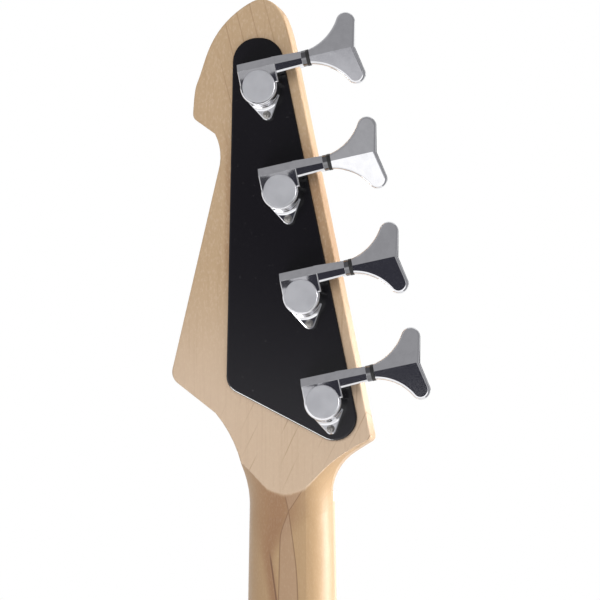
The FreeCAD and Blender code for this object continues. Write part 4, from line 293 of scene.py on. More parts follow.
def beside_waist(side, z):
    """How far a point lies outside the two lines of the neck, less than zero between them."""
    rise = z - WAIST_RISE
    right_low = (rise * RIGHT_LOWER).math("SMOOTH_MIN", rise * RIGHT_RUN + RIGHT_RUN_SIDE, RIGHT_KNEE)
    right_line = (rise * RIGHT_UPPER).math("MAXIMUM", right_low)
    left_low = (rise * LEFT_LOWER).math("SMOOTH_MAX", rise * LEFT_RUN - LEFT_RUN_SIDE, LEFT_KNEE)
    left_line = (rise * LEFT_UPPER).math("MINIMUM", left_low)
    return (side - right_line).math("MAXIMUM", left_line - side)


def neck_lines(beside, drift, faint):
    waist_line = beside.near(0.00008, 0.00042)
    outer_line = ring_line((beside / OUTER_RING + drift * 1.5).math("FRACT"), 0.90, 0.98, 0.98)
    return waist_line * 0.80 + outer_line * faint.between(0.45, 0.72) * 0.30


print("rings of the head, mm apart:", round(HEAD_RING / MM, 1))

# %% [markdown]
# The colour is paler to the throat and tan to the top, yellower on the neck and pinkish
# between its two lines. The neck's left side is darker in patches, a painted shade, and a
# brown band of painted shade runs left of the neck's middle, wide under the throat and
# narrow further down, with a dark streak in it. A painted shadow darkens the wood along
# the left edge of the plate.

# %% Maple, the finish
HEAD_BACK = -0.0230
NECK_END = (0.030, 0.045)
TAN_RISE = (0.04, 0.125)
PAINTED_SHADE_SIDE = (-0.017, 0.002)
STREAK_SIDE = 0.0088
STREAK_RISE = 0.027
STREAK_SLOPE = 0.14
STREAK_FOOT = (-0.085, -0.055)
STREAK_TOP = (-0.030, -0.022)
# The band of painted shade on the neck, left of its middle:
BAND_SIDE = 0.0085
BAND_BEND = 0.028
BAND_SLOPE = 0.16
BAND_SHIFT = 0.0050
BAND_SHIFT_RISE = (-0.026, -0.004)
BAND_REACH = 0.0026
BAND_WIDENING = 0.0100
BAND_WIDENING_RISE = (-0.030, -0.002)
# A painted shadow along the plate's left edge:
PLATE_SHADOW_WIDTH = 0.0022
PLATE_SHADOW_FOOT = (0.085, 0.125)
PLATE_SHADOW_TOP = (0.160, 0.185)


def dark_streak(side, z):
    place = side + STREAK_SIDE + (z + STREAK_RISE) * STREAK_SLOPE
    streak = place.near(0.00012, 0.00060)
    return streak * (1.0 - z.between(*STREAK_TOP)) * z.between(*STREAK_FOOT)


# A band of painted shade left of the neck's middle, wide under the throat and narrow further down.
def painted_shade_band(x, z, drift):
    bent = (z * -1.0 - BAND_BEND).math("MAXIMUM", 0.0) * BAND_SLOPE
    place = x + BAND_SIDE - bent + drift * 0.006
    place = place - z.between(*BAND_SHIFT_RISE) * BAND_SHIFT
    reach = BAND_REACH + z.between(*BAND_WIDENING_RISE) * BAND_WIDENING
    return 1.0 - (place.math("ABSOLUTE") / reach).between(0.0, 1.6)


# Painted shadow: a narrow darker strip of wood beside the plate's left edge.
def plate_painted_shadow(x, z):
    plate_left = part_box("head_plate")[0].x
    beside = x.between(plate_left - PLATE_SHADOW_WIDTH, plate_left)
    return beside * z.between(*PLATE_SHADOW_FOOT) * (1.0 - z.between(*PLATE_SHADOW_TOP))


def make_maple():
    wood = Finish("maple_satin", Coat_Roughness=0.5, Specular_IOR_Level=0.2)
    place = wood.place()
    x, y, z = wood.split(place)
    drift = wood.grain(place, (9.0, 9.0, 2.2), 2.0) - 0.5
    sway = wood.grain(place, (60.0, 60.0, 12.0), 2.0) - 0.5
    faint = wood.grain(place, (70.0, 70.0, 7.0), 3.0)
    patch = wood.grain(place, (16.0, 16.0, 3.5), 4.0)
    streak = wood.grain(place, (900.0, 900.0, 22.0), 2.0)
    fleck = wood.grain(place, (1500.0, 1500.0, 650.0), 2.0)
    neck = y.between(HEAD_BACK + 0.0001, HEAD_BACK + 0.0006) * (1.0 - z.between(*NECK_END))
    side = x - WAIST_SIDE + sway * 0.0014
    beside = beside_waist(side, z)
    line = head_lines(x, z, drift, sway, faint) * (1.0 - neck) + neck_lines(beside, drift, faint) * neck

    body = wood.mix(z.between(*TAN_RISE) * 0.82 + (patch - 0.5) * 0.6, MAPLE_LIGHT, MAPLE_TAN)
    # Painted shade: the neck's left side is darker, in patches.
    shade = (1.0 - x.between(*PAINTED_SHADE_SIDE)) * patch.between(0.25, 0.60)
    body = wood.mix(neck, body, wood.mix(shade, MAPLE_NECK, MAPLE_PAINTED_SHADE))
    # Painted shade: the brown band under the throat and down the neck's left.
    body = wood.mix(painted_shade_band(x, z, drift) * neck * 0.85, body, MAPLE_SHADOW_BROWN)
    # Painted shadow: brown wood along the plate's left edge, patchy with the faint grain.
    plate_shadow = plate_painted_shadow(x, z) * (1.0 - neck) * faint.between(0.30, 0.60)
    body = wood.mix(plate_shadow * 0.55, body, MAPLE_SHADOW_BROWN)
    between = (1.0 - beside.between(-0.0006, 0.0003)) * neck
    body = wood.mix(between * 0.75, body, MAPLE_PINK)
    body = wood.mix(streak.between(0.50, 0.80) * 0.14, body, MAPLE_LINE)
    body = wood.mix(fleck.between(0.45, 0.75) * (0.36 - neck * 0.26), body, MAPLE_PALE)
    body = wood.mix(line, body, wood.mix(neck, MAPLE_LINE, MAPLE_DEEP))
    wood.set("Base Color", wood.mix(dark_streak(side, z) * neck * 0.8, body, MAPLE_DARK))
    wood.set("Roughness", 0.42 + streak * 0.12)
    wood.set("Coat Weight", 0.12 + neck * 0.88)
    wood.bump(streak - line * 0.6, 0.10, 0.0002)
    return wood


maple = make_maple()
dress(maple, "neck")
print("maple nodes:", len(maple.tree.nodes))

# %% [markdown]
# The tuners are chrome plate over cast metal: a mirror, with only a trace of haze and the
# faint waviness of a polished casting. Mirror metal has no colour of its own worth
# painting, so all of its look comes from what stands around it, further down. The other
# metals are the same finish with more haze and a colour.

# %% Chrome and other metals
CHROME = (0.80, 0.80, 0.825)
CHROME_CLOUD = (0.75, 0.75, 0.775)
CHROME_ROUGH = 0.035
CHROME_HAZE = 0.05
CHROME_GRAIN = 2400.0
CLOUD_SCALE = 260.0
CLOUD_EDGE = (0.35, 0.7)
CLOUD_DIM = 0.94
WAVE_SCALE = 90.0


def make_metal(name, colour, rough, haze, grain, wave):
    metal = Finish(name, Metallic=1.0)
    place = metal.place()
    cloud = metal.noise(place, CLOUD_SCALE, 3.0).between(*CLOUD_EDGE)
    metal.set("Base Color", metal.mix(cloud, colour, [part * CLOUD_DIM for part in colour]))
    metal.set("Roughness", rough + metal.noise(place, grain, 2.0) * haze)
    metal.bump(metal.noise(place, WAVE_SCALE, 2.0), wave, 0.0004)
    return metal


chrome = make_metal("chrome_plate", CHROME, CHROME_ROUGH, CHROME_HAZE, CHROME_GRAIN, wave=0.03)
steel = make_metal("plain_steel", (0.56, 0.56, 0.57), rough=0.26, haze=0.16, grain=1800.0, wave=0.06)
nickel = make_metal("nickel_wire", (0.66, 0.635, 0.59), rough=0.22, haze=0.14, grain=2200.0, wave=0.05)
brass = make_metal("worm_brass", (0.72, 0.52, 0.22), rough=0.25, haze=0.15, grain=1500.0, wave=0.05)
screw_steel = make_metal("screw_nickel", (0.40, 0.385, 0.37), rough=0.16, haze=0.14, grain=1600.0, wave=0.08)
dress(screw_steel, "tuner_screws")
dress(chrome, "post_bushings", "string_tree", "neck_plate",
      "neck_screws", "pickguard_screws", "pickup_screws", "control_nuts", "output_jack",
      "bridge_plate", "bridge_screws", "strap_screws", "strap_buttons")
for number in range(1, 5):
    dress(chrome, "tuner_key_%d" % number, "string_post_%d" % number, "saddle_%d" % number)
    dress(steel, "worm_shaft_%d" % number, "intonation_screw_%d" % number)
    dress(brass, "worm_wheel_%d" % number)
dress(steel, "truss_rod", "truss_rod_nut", "pole_pieces", "potentiometers", "volume_shaft", "tone_shaft")
dress(nickel, "frets")
print("nodes dressed so far:", len(dressed))

# %% [markdown]
# Round the cap disc the cast face of a housing isn't quite flat: polishing leaves it a
# little crowned, so its lower part mirrors the bright ground and its upper part the dark
# room ahead. A crown that small is a height in the finish, repeated from post to post along
# the line of tuners. The collar at the end of each barrel is a darker grey.

# %% Tuner housings
POST_LEAN = math.radians(11.6)
POST_PITCH = 0.05176
FIRST_POST = Vector((0.020, 0.0, 0.048))
POST_STEP = Vector((-math.sin(POST_LEAN), 0.0, math.cos(POST_LEAN)))
CAN_FACE = -0.0356
CAN_ROUND = 0.0090
CAN_CROWN = 0.170
COLLAR_START = 0.0230
COLLAR_GREY = (0.20, 0.20, 0.21)
HOUSING_WAVE = 0.00001


def make_housing_chrome():
    metal = Finish("chrome_housing", Metallic=1.0)
    place = metal.place()
    x, y, z = metal.split(place)
    right = x - FIRST_POST.x
    up = z - FIRST_POST.z
    along = (right * POST_STEP.x + up * POST_STEP.z) / POST_PITCH + 0.5
    up_can = (along.math("FRACT") - 0.5) * POST_PITCH
    across_can = right * POST_STEP.z - up * POST_STEP.x
    collar = across_can.between(COLLAR_START, COLLAR_START + 0.0001)
    cloud = metal.noise(place, CLOUD_SCALE, 3.0).between(*CLOUD_EDGE)
    metal.set("Base Color", metal.mix(collar, metal.mix(cloud, CHROME, CHROME_CLOUD), COLLAR_GREY))
    metal.set("Roughness", CHROME_ROUGH + metal.noise(place, CHROME_GRAIN, 2.0) * CHROME_HAZE)
    crown = (CAN_ROUND ** 2 - (up_can * up_can + across_can * across_can)) / (2 * CAN_CROWN)
    on_face = 1.0 - y.between(CAN_FACE + 0.00003, CAN_FACE + 0.00008)
    wave = metal.noise(place, WAVE_SCALE, 2.0) * HOUSING_WAVE
    metal.bump(crown * on_face + wave, 1.0, 1.0)
    return metal


housing_chrome = make_housing_chrome()
dress(housing_chrome, "tuner_housings")
print("housing nodes:", len(housing_chrome.tree.nodes))

# %% [markdown]
# The cap discs are the one satin thing on each tuner: pale grey with a hint of violet,
# rolled metal with a fine even haze. Metal that is this rough shows no picture of the
# room, only a soft grey.

# %% Cap discs
CAP_PALE = (0.66, 0.665, 0.70)
CAP_DEEP = (0.58, 0.585, 0.62)


def make_cap():
    satin = Finish("cap_satin", Metallic=0.75)
    place = satin.place()
    rolled = satin.grain(place, (500.0, 500.0, 3500.0), 2.0)
    blush = satin.noise(place, 120.0, 2.0)
    satin.set("Base Color", satin.mix(blush.between(0.3, 0.75), CAP_PALE, CAP_DEEP))
    satin.set("Roughness", 0.42 + rolled * 0.16)
    satin.bump(rolled, 0.08, 0.0001)
    return satin


cap_satin = make_cap()
dress(cap_satin, "tuner_caps")
print("cap nodes:", len(cap_satin.tree.nodes))

# %% [markdown]
# Black parts differ: the plate on the head is satin lacquer that shines a little less
# towards its top, and washers and pickup covers are moulded plastic. Both carry a trace of
# dust, which keeps a large black face from looking empty.

# %% Black parts
PLATE_BLACK = (0.0026, 0.0022, 0.0036)
PLATE_FADE = (0.045, 0.145)
PLATE_FADE_SHARE = 0.42
MOULDED_BLACK = (0.018, 0.018, 0.019)
DUST_SCALE = 700.0
DUST_LIFT = 0.05


def make_black(name, colour, rough, speck, coat=0.0):
    black = Finish(name, Coat_Weight=coat, Coat_Roughness=0.08)
    place = black.place()
    grain = black.noise(place, speck, 3.0)
    dust = black.noise(place, DUST_SCALE, 2.0).between(0.68, 0.80)
    black.set("Base Color", black.mix(dust * 0.25, colour, [part + DUST_LIFT for part in colour]))
    black.set("Roughness", rough + grain * 0.14)
    black.bump(grain, 0.05, 0.0001)
    return black


plate_black = make_black("plate_satin_black", PLATE_BLACK, rough=0.30, speck=1500.0, coat=1.0)
plate_black.set("Specular IOR Level", 0.0)
plate_black.set("Coat Roughness", 0.17)
plate_height = plate_black.split(plate_black.place())[2]
plate_black.set("Coat Weight", 1.0 - plate_height.between(*PLATE_FADE) * PLATE_FADE_SHARE)
moulded_black = make_black("moulded_black", MOULDED_BLACK, rough=0.42, speck=2600.0)
dress(plate_black, "head_plate")
dress(moulded_black, "key_washers", "pickup_covers", "wiring")
print("nodes dressed so far:", len(dressed))

# %% [markdown]
# The guard is a sandwich of black, white and black sheet whose edge shows the white line.
# The line is painted by height, because the sheets lie at one level.

# %% Guard
GUARD_BLACK = (0.012, 0.012, 0.013)
GUARD_HAZE = (0.024, 0.023, 0.024)
GUARD_WHITE = (0.80, 0.79, 0.75)
WHITE_FOOT = (-0.00835, -0.00825)
WHITE_TOP = (-0.00752, -0.00742)


def make_guard():
    guard = Finish("guard_sandwich", Coat_Weight=0.6, Coat_Roughness=0.05)
    place = guard.place()
    level = guard.split(place)[1]
    white = level.between(*WHITE_FOOT) * (1.0 - level.between(*WHITE_TOP))
    haze = guard.noise(place, 380.0, 3.0)
    black = guard.mix(haze * 0.35, GUARD_BLACK, GUARD_HAZE)
    guard.set("Base Color", guard.mix(white, black, GUARD_WHITE))
    guard.set("Roughness", 0.20 + haze * 0.12)
    return guard


dress(make_guard(), "pickguard")
print("white line of the guard, mm:", round((WHITE_TOP[1] - WHITE_FOOT[0]) / MM, 2))

# %% [markdown]
# The body is an ash slab under satin lacquer. Ash has strong open rings, so the grain is a
# set of tilted cones round a far-off heart, with dark pores strung along each ring.

# %% Body
ASH_PALE = (0.62, 0.44, 0.265)
ASH_DEEP = (0.36, 0.215, 0.105)
ASH_PATCH = (0.50, 0.33, 0.18)
ASH_PORE = (0.19, 0.10, 0.045)
ASH_RING = 0.0078
ASH_HEART_SIDE = 0.03
ASH_HEART_LEVEL = 0.085
ASH_HEART_FLATTEN = 1.6
ASH_CONE = 0.020


def make_ash():
    wood = Finish("ash_satin", Coat_Weight=0.25, Coat_Roughness=0.25)
    place = wood.place()
    x, y, z = wood.split(place)
    drift = wood.grain(place, (6.0, 6.0, 1.6), 3.0) - 0.5
    side = x - ASH_HEART_SIDE
    level = y - ASH_HEART_LEVEL
    heart = (side * side + level * level * ASH_HEART_FLATTEN).math("SQRT")
    ring = (heart + drift * 0.050 + ASH_CONE * z) / ASH_RING
    dark = ring_line(ring.math("FRACT"), 0.25, 0.92, 0.95)
    pores = wood.grain(place, (1100.0, 1100.0, 48.0), 2.0).between(0.56, 0.72)
    patch = wood.grain(place, (7.0, 7.0, 2.0), 4.0)
    body = wood.mix(dark * 0.62, ASH_PALE, ASH_DEEP)
    body = wood.mix(patch.between(0.35, 0.75) * 0.25, body, ASH_PATCH)
    wood.set("Base Color", wood.mix(pores * (0.12 + dark * 0.50), body, ASH_PORE))
    wood.set("Roughness", 0.34 + pores * 0.15)
    wood.bump(0.0 - pores * dark, 0.18, 0.0003)
    return wood


ash = make_ash()
dress(ash, "body")
print("ash nodes:", len(ash.tree.nodes))

# %% [markdown]
# The fretboard is maple like the neck, because no dark strip shows beside the neck's back,
# so its dots are black. The nut is polished bone, and the coils are lacquered wire.

# %% Fretboard, nut, dots and coils
BOARD_PALE = (0.64, 0.47, 0.29)
BOARD_DEEP = (0.56, 0.385, 0.215)
BOARD_FLECK = (0.70, 0.55, 0.38)
BOARD_LINE = (0.36, 0.21, 0.10)
BOARD_RING = 0.0062
BOARD_LEAN = 0.02
BONE_WARM = (0.76, 0.71, 0.58)
BONE_COOL = (0.83, 0.80, 0.70)
COIL_WARM = (0.24, 0.08, 0.03)
COIL_COOL = (0.32, 0.13, 0.05)
DOT_BLACK = (0.012, 0.012, 0.012)


def make_board():
    wood = Finish("board_maple", Coat_Weight=0.35, Coat_Roughness=0.2)
    place = wood.place()
    x, _, z = wood.split(place)
    drift = wood.grain(place, (30.0, 30.0, 2.0), 3.0) - 0.5
    beat = ((x + BOARD_LEAN * z + drift * 0.012) / BOARD_RING).math("FRACT")
    line = ring_line(beat, 0.80, 0.97, 0.97)
    fleck = wood.grain(place, (500.0, 500.0, 60.0), 2.0)
    body = wood.mix(drift + 0.5, BOARD_PALE, BOARD_DEEP)
    body = wood.mix(fleck.between(0.50, 0.75) * 0.3, body, BOARD_FLECK)
    wood.set("Base Color", wood.mix(line * 0.4, body, BOARD_LINE))
    wood.set("Roughness", 0.32 + fleck * 0.12)
    return wood


def make_pale(name, warm, cool, rough):
    pale = Finish(name, Coat_Weight=0.2, Coat_Roughness=0.15)
    cloud = pale.noise(pale.place(), 330.0, 4.0)
    pale.set("Base Color", pale.mix(cloud.between(0.35, 0.68), warm, cool))
    pale.set("Roughness", rough + cloud * 0.1)
    return pale


dress(make_board(), "fretboard")
dress(make_pale("bone", BONE_WARM, BONE_COOL, rough=0.26), "nut")
dress(make_black("dot_black", DOT_BLACK, rough=0.20, speck=1200.0), "position_dots")
dress(make_pale("coil_lacquer", COIL_WARM, COIL_COOL, rough=0.4), "pickup_coils")
print("nodes left for new pieces:", sorted(set(nodes.keys()) - dressed))

# %% [markdown]
# Bass strings are a steel core wound with nickel wire. The fine wrap is too small to model
# turn by turn over a metre, so each string is a round tube along its real route, over saddle
# and nut to the turns on its post, and the wrap is a ripple in its finish: a bump, with
# painted shade in the grooves between turns and a painted highlight on their crests. The two
# thin strings are pressed down by the string tree on the way.

# %% Strings
SCALE_LENGTH = 863.6
STRING_GAUGES = (2.67, 2.16, 1.65, 1.14)
STRING_NAMES = ("e", "a", "d", "g")
STRING_FAN = (0.5, 1 / 6, -1 / 6, -0.5)
NUT_SPAN = 30.0
NUT_LIFT = 1.6
NUT_MIDDLE = 2.5
BRIDGE_SPAN = 57.0
SADDLE_LIFT = 3.9
SADDLE_STEP = 1.4
BALL_LIFT = 2.6
BALL_BEHIND_SADDLE = 49.6
FIRST_TREE_STRING = 2
TREE_RISE = 78.0
TREE_LEVEL = -1.5
HEAD_FRONT = -7.0
BUSHING_HEAD = 3.5
POST_COLLAR = 1.5
POST_WAIST = 5.0
CLEAR_GAP = 0.3
WINDING_GAP = 0.55
WINDING_TURNS = 2.5
WINDING_END = 0.125
POINTS_PER_TURN = 24
WRAP_PITCH = 0.00045
# The wrap's colours: painted shade in the grooves, a painted highlight on the crests.
WRAP_GROOVE_SHADE = (0.42, 0.40, 0.37)
WRAP_CREST_HIGHLIGHT = (0.70, 0.68, 0.64)


def make_wound():
    wire = Finish("wound_string", Metallic=1.0)
    height = wire.split(wire.place())[2]
    ripple = (height * (2 * math.pi / WRAP_PITCH)).math("SINE")
    # Painted shade in the grooves of the wrap and a painted highlight on its crests.
    wire.set("Base Color", wire.mix(ripple * 0.5 + 0.5, WRAP_GROOVE_SHADE, WRAP_CREST_HIGHLIGHT))
    wire.set("Roughness", 0.28 + ripple * 0.05)
    wire.bump(ripple, 0.25, 0.0001)
    return wire


def string_route(index):
    """Points of one string in millimetres, from the ball end to the last turn on the post."""
    radius = STRING_GAUGES[index] / 2
    post = (FIRST_POST + POST_STEP * (POST_PITCH * index)) / MM
    ball = Vector((BRIDGE_SPAN * STRING_FAN[index], BALL_LIFT, -SCALE_LENGTH - BALL_BEHIND_SADDLE))
    saddle = Vector((ball.x, SADDLE_LIFT + radius, -SCALE_LENGTH - SADDLE_STEP * (3 - index)))
    nut = Vector((NUT_SPAN * STRING_FAN[index], NUT_LIFT + radius, NUT_MIDDLE))
    route = [ball, saddle, nut]
    turn_radius = POST_WAIST + CLEAR_GAP + radius
    pitch = STRING_GAUGES[index] + WINDING_GAP
    first_turn = HEAD_FRONT + BUSHING_HEAD + CLEAR_GAP + POST_COLLAR + CLEAR_GAP + radius

    def touch_angle(start):
        away = post - start
        heading = math.atan2(away.z, away.x) + math.asin(turn_radius / math.hypot(away.x, away.z))
        return heading + math.pi / 2

    def on_post(angle, turn):
        return Vector((post.x + turn_radius * math.cos(angle - turn),
                       first_turn + pitch * turn / (2 * math.pi),
                       post.z + turn_radius * math.sin(angle - turn)))

    if index >= FIRST_TREE_STRING:
        far = on_post(touch_angle(nut), 0.0)
        share = (TREE_RISE - nut.z) / (far.z - nut.z)
        route.append(Vector((nut.x + (far.x - nut.x) * share, TREE_LEVEL, TREE_RISE)))
    angle = touch_angle(route[-1])
    steps = int((WINDING_TURNS + WINDING_END) * POINTS_PER_TURN)
    for step in range(steps + 1):
        route.append(on_post(angle, 2 * math.pi * step / POINTS_PER_TURN))
    return route


wound = make_wound()
for index, letter in enumerate(STRING_NAMES):
    name = "string_" + letter
    curve = bpy.data.curves.new(name, "CURVE")
    curve.dimensions = "3D"
    curve.bevel_depth = STRING_GAUGES[index] / 2 * MM
    curve.bevel_resolution = 3
    curve.use_fill_caps = True
    line = curve.splines.new("POLY")
    route = string_route(index)
    line.points.add(len(route) - 1)
    for point, spot in zip(line.points, route):
        point.co = (*(spot * MM), 1.0)
    curve.materials.append(wound.material)
    piece = bpy.data.objects.new(name, curve)
    scene.collection.objects.link(piece)
    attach(piece, "bass")
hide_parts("strings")

# %% [markdown]
# Knobs and ball ends are turned pieces. A helper spins a profile of radius and height, and
# can cut a knurl into it: every other step round the rim is drawn in a little, which is
# what gives fingers their grip on a metal knob.

# %% Turned pieces


def spin(name, profile, steps, place, knurl=(), depth=0.0):
    """A closed turned mesh; rows of the profile listed in knurl are grooved by depth."""
    mesh = bpy.data.meshes.new(name)
    shape = bmesh.new()
    rings = []
    for row, (radius, height) in enumerate(profile):
        ring = []
        for step in range(steps):
            turn = 2 * math.pi * step / steps
            reach = radius - depth * (step % 2) if row in knurl else radius
            spot = Vector((reach * math.cos(turn), reach * math.sin(turn), height)) * MM
            ring.append(shape.verts.new(place @ spot))
        rings.append(ring)
    for low, high in zip(rings, rings[1:]):
        for step in range(steps):
            after = (step + 1) % steps
            shape.faces.new((low[step], low[after], high[after], high[step]))
    shape.faces.new(list(reversed(rings[0])))
    shape.faces.new(rings[-1])
    bmesh.ops.recalc_face_normals(shape, faces=shape.faces)
    shape.to_mesh(mesh)
    shape.free()
    piece = bpy.data.objects.new(name, mesh)
    scene.collection.objects.link(piece)
    return piece


FRONT = Matrix.Rotation(math.radians(-90.0), 4, "X")
KNOB_PROFILE = ((8.4, 0.0), (9.6, 0.0), (9.6, 1.6), (9.0, 2.1), (9.25, 2.6), (9.25, 3.1), (9.25, 13.0),
                (9.0, 13.6), (8.2, 14.7), (6.6, 15.6), (3.0, 15.95), (0.6, 16.0))
KNOB_KNURL = (5, 6)
KNOB_KNURL_DEPTH = 0.22
KNOB_STEPS = 144


def make_knob(name, node, body):
    low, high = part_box(node)
    middle = (low + high) / 2
    place = Matrix.Translation(Vector((middle.x, low.y, middle.z))) @ FRONT
    knob = spin(name, KNOB_PROFILE, KNOB_STEPS, place, KNOB_KNURL, KNOB_KNURL_DEPTH)
    knob.data.materials.append(chrome.material)
    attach(knob, body)
    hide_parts(node)
    return knob


knobs = [make_knob("volume_knob_knurled", "volume_knob", "volume"),
         make_knob("tone_knob_knurled", "tone_knob", "tone")]
print("knob faces:", [len(knob.data.polygons) for knob in knobs])

# %% [markdown]
# Each string ends behind the bridge in a small brass bobbin, the ball end, which lies
# across the string and keeps it from slipping through its hole.

# %% Ball ends
BALL_PROFILE = ((1.0, -2.4), (2.1, -2.4), (2.4, -2.1), (2.4, -1.2), (1.7, -0.7), (1.7, 0.7), (2.4, 1.2),
                (2.4, 2.1), (2.1, 2.4), (1.0, 2.4))
BALL_STEPS = 32
SIDEWAYS = Matrix.Rotation(math.radians(90.0), 4, "Y")
balls = []
for index, letter in enumerate(STRING_NAMES):
    spot = string_route(index)[0] * MM
    ball = spin("ball_end_" + letter, BALL_PROFILE, BALL_STEPS, Matrix.Translation(spot) @ SIDEWAYS)
    ball.data.materials.append(brass.material)
    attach(ball, "bass")
    balls.append(ball)
print("ball ends:", [ball.name for ball in balls])

# %% [markdown]
# Light is a plain bright room. White all round fills the shade, dimmer than the white that
# shows behind the object and in mirrors. A large soft lamp from the right gives the right
# wall and the right of the neck their shine. It spares the plate and the chrome of the
# tuners, where it would burn white rims. Another lamp lights only the plate, whose lower end
# is the paler one.

# %% Room and lamps
WHITE = (1.0, 1.0, 1.0)
WARM_WHITE = (1.0, 0.985, 0.965)
ROOM_FILL = 0.52
ROOM_SEEN = 1.0
SPARED_NODES = ("head_plate", "tuner_housings", "tuner_screws",
                "tuner_key_1", "tuner_key_2", "tuner_key_3", "tuner_key_4")

scene.view_settings.view_transform = "Standard"
world = bpy.data.worlds.new("room")
scene.world = world
room = Tree(world)
seen = room.node("ShaderNodeLightPath", output="Is Camera Ray")
for ray in ("Is Glossy Ray", "Is Transmission Ray"):
    seen = seen.math("MAXIMUM", room.node("ShaderNodeLightPath", output=ray))
fill = room.node("ShaderNodeBackground", None, {"Color": WHITE, "Strength": ROOM_FILL})
bright = room.node("ShaderNodeBackground", None, {"Color": WHITE, "Strength": ROOM_SEEN})
either = room.node("ShaderNodeMixShader", None, {0: seen, 1: fill, 2: bright})
room.node("ShaderNodeOutputWorld", None, {"Surface": either})


def lamp(name, spot, target, size, watts, colour, mirrored=False):
    data = bpy.data.lights.new(name, "AREA")
    data.shape = "DISK"
    data.size = size
    data.energy = watts
    data.color = colour
    made = bpy.data.objects.new(name, data)
    made.location = spot
    made.rotation_mode = "QUATERNION"
    made.rotation_quaternion = (Vector(target) - Vector(spot)).to_track_quat("-Z", "Y")
    made.visible_glossy = mirrored
    made.visible_camera = False
    scene.collection.objects.link(made)
    return made


def choose_lit(light, name, members, state):
    """Says which nodes a lamp lights, INCLUDE, or spares, EXCLUDE."""
    group = bpy.data.collections.new(name)
    for node in members:
        group.objects.link(nodes[node])
    for member in group.collection_objects:
        member.light_linking.link_state = state
    light.light_linking.receiver_collection = group


right_lamp = lamp("lamp_right", spot=(2.0, 0.28, 0.25), target=(0.0, 0.0, 0.05), size=0.9, watts=62.0,
                  colour=WARM_WHITE, mirrored=True)
lamp("lamp_behind_camera", spot=(-0.3, -2.2, 0.9), target=(0.0, 0.0, 0.0), size=1.2, watts=20.0,
     colour=WHITE)
lamp("lamp_strings", spot=(0.6, 2.0, 0.4), target=(0.0, 0.0, -0.4), size=1.2, watts=22.0, colour=WHITE)
plate_lamp = lamp("lamp_plate_edge", spot=(-0.52, -0.18, -0.66), target=(0.01, -0.025, 0.06), size=0.9,
                  watts=50.0, colour=WHITE, mirrored=True)
choose_lit(plate_lamp, "lit_by_plate_lamp", ("head_plate",), "INCLUDE")
choose_lit(right_lamp, "spared_by_right_lamp", SPARED_NODES, "EXCLUDE")
print("lamps:", [data.name for data in bpy.data.lights])

# %% [markdown]
# A mirror needs more than light, it needs something to reflect. Cards that only mirrors can
# see make a room that is white below, dark ahead, where the picture is taken from, and grey
# above and at both sides. They stand far off, so that all four tuners see them at nearly
# the same height. A dark and a grey one on the far side do the same for the other views.

# %% Cards
CARD_AHEAD = -8.0
CARD_BEHIND = -8.05
CARD_SIDE = 5.0
CARD_TOP = 9.0
CARD_SIDE_END = 4.0
CARD_ABOVE_END = 1.0
CARD_LEFT_FOOT = 0.3
LIGHT_FOOT = -0.45
WHITE_LEFT_END = -1.1
WHITE_LEFT_TOP = 0.0
DARK_FOOT = 0.20
DARK_TOP = 1.55
GREY_STEP = 2.65
CARD_WHITE = (1.28, 1.28, 1.28)
CARD_LIGHT = (0.58, 0.58, 0.60)
CARD_PALE_GREY = (0.43, 0.43, 0.44)
CARD_GREY = (0.34, 0.34, 0.35)
CARD_LEFT_GREY = (0.45, 0.45, 0.46)
CARD_RIGHT_GREY = (0.30, 0.30, 0.31)
CARD_DARK = (0.035, 0.035, 0.046)
CARD_BESIDE = (0.050, 0.050, 0.058)

# The dark one is wide at its foot and narrow at its top, with a smaller dark shape beside it
DARK_OUTLINE = ((-1.8, DARK_FOOT), (1.6, DARK_FOOT), (1.6, 0.9), (0.9, DARK_TOP), (0.5, 1.95),
                (-0.75, 1.95), (-1.05, 1.75), (-1.05, 1.2), (-1.55, 0.92), (-1.8, 0.8))
BESIDE_OUTLINE = ((-3.2, 0.92), (-1.55, 0.92), (-1.55, 1.22), (-1.95, 1.30), (-1.95, 1.62), (-3.2, 1.62))


def card(name, corners, grey):
    """A card that only mirrors see."""
    mesh = bpy.data.meshes.new(name)
    mesh.from_pydata([Vector(corner) for corner in corners], [], [range(len(corners))])
    material = bpy.data.materials.new(name)
    finish = Tree(material)
    glow = finish.node("ShaderNodeEmission", None, {"Color": grey})
    finish.node("ShaderNodeOutputMaterial", None, {"Surface": glow})
    mesh.materials.append(material)
    made = bpy.data.objects.new(name, mesh)
    scene.collection.objects.link(made)
    made.visible_camera = False
    made.visible_diffuse = False
    made.visible_shadow = False
    made.visible_transmission = False
    return made


def upright(outline, depth):
    """Corners of a card across the view, from places across and up."""
    return [(side, depth, height) for side, height in outline]


def across_view(foot, top, depth, left=-CARD_SIDE, right=CARD_SIDE):
    return upright(((left, foot), (right, foot), (right, top), (left, top)), depth)


def along_view(side, start, end, foot, top):
    return ((side, start, foot), (side, end, foot), (side, end, top), (side, start, top))


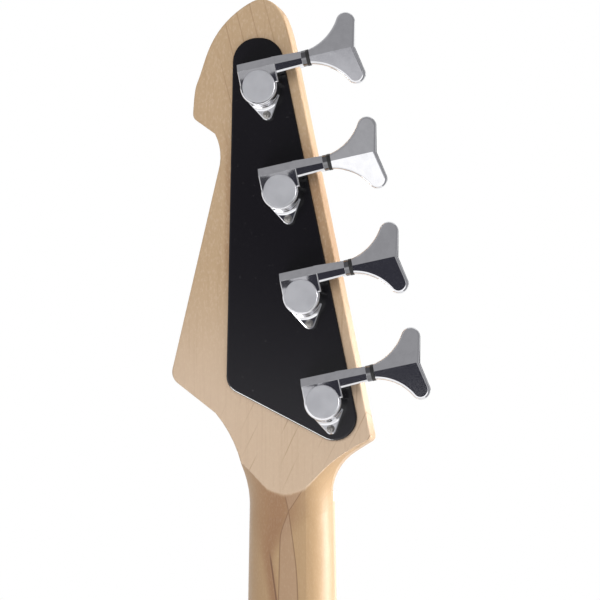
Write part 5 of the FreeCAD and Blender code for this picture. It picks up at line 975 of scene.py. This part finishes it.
cards = [
    card("card_white", across_view(-CARD_TOP / 2, LIGHT_FOOT, CARD_BEHIND), CARD_WHITE),
    card("card_white_left", across_view(LIGHT_FOOT, WHITE_LEFT_TOP, CARD_AHEAD, right=WHITE_LEFT_END),
         CARD_WHITE),
    card("card_light", across_view(LIGHT_FOOT, DARK_TOP, CARD_BEHIND), CARD_LIGHT),
    card("card_dark", upright(DARK_OUTLINE, CARD_AHEAD), CARD_DARK),
    card("card_beside", upright(BESIDE_OUTLINE, CARD_AHEAD), CARD_BESIDE),
    card("card_pale_grey", across_view(DARK_TOP, GREY_STEP, CARD_BEHIND), CARD_PALE_GREY),
    card("card_grey", across_view(GREY_STEP, CARD_TOP, CARD_BEHIND), CARD_GREY),
    card("card_front_dark", upright(DARK_OUTLINE, -CARD_AHEAD), CARD_DARK),
    card("card_front_grey", across_view(DARK_TOP, CARD_TOP, -CARD_BEHIND), CARD_GREY),
    card("card_left", along_view(-CARD_SIDE, CARD_AHEAD, CARD_SIDE_END, CARD_LEFT_FOOT, CARD_TOP),
         CARD_LEFT_GREY),
    card("card_right", along_view(CARD_SIDE, CARD_SIDE_END, CARD_AHEAD, -CARD_TOP, CARD_TOP),
         CARD_RIGHT_GREY),
    card("card_above", ((-CARD_SIDE, CARD_AHEAD, CARD_TOP), (CARD_SIDE, CARD_AHEAD, CARD_TOP),
                        (CARD_SIDE, CARD_ABOVE_END, CARD_TOP), (-CARD_SIDE, CARD_ABOVE_END, CARD_TOP)),
         CARD_GREY),
]
print("cards:", len(cards))

# %% [markdown]
# The floor is pale and plain, just under the lower strap button. It is there for the other
# views, where the whole instrument shows, and it keeps the shadow. A little glow that only
# the camera sees brings it near the white of the room without lighting the object. The glow
# grows outwards, so that the floor's end shows less against the room.

# %% Floor
FLOOR_HALF = 6.0
FLOOR_GAP = 0.002
FLOOR_PALE = (0.86, 0.86, 0.86)
GLOW_NEAR = 0.60
GLOW_GROWTH = 0.40
GLOW_REACH = (0.7, 3.2)

floor_mesh = bpy.data.meshes.new("floor")
level = cad_low.z - FLOOR_GAP
floor_corners = [(-FLOOR_HALF, -FLOOR_HALF, level), (FLOOR_HALF, -FLOOR_HALF, level),
                 (FLOOR_HALF, FLOOR_HALF, level), (-FLOOR_HALF, FLOOR_HALF, level)]
floor_mesh.from_pydata(floor_corners, [], [(0, 1, 2, 3)])
floor = bpy.data.objects.new("floor", floor_mesh)
scene.collection.objects.link(floor)
pale_floor = Finish("floor_pale", Roughness=0.9, Specular_IOR_Level=0.0, Emission_Strength=0.58)
pale_floor.set("Base Color", FLOOR_PALE)
floor_x, floor_y, _ = pale_floor.split(pale_floor.place())
far_off = (floor_x * floor_x + floor_y * floor_y).math("SQRT").between(*GLOW_REACH)
by_camera = pale_floor.node("ShaderNodeLightPath", output="Is Camera Ray")
pale_floor.set("Emission Color", by_camera * (GLOW_NEAR + far_off * GLOW_GROWTH))
floor_mesh.materials.append(pale_floor.material)
floor.visible_glossy = False
print("floor level, m:", round(level, 4))
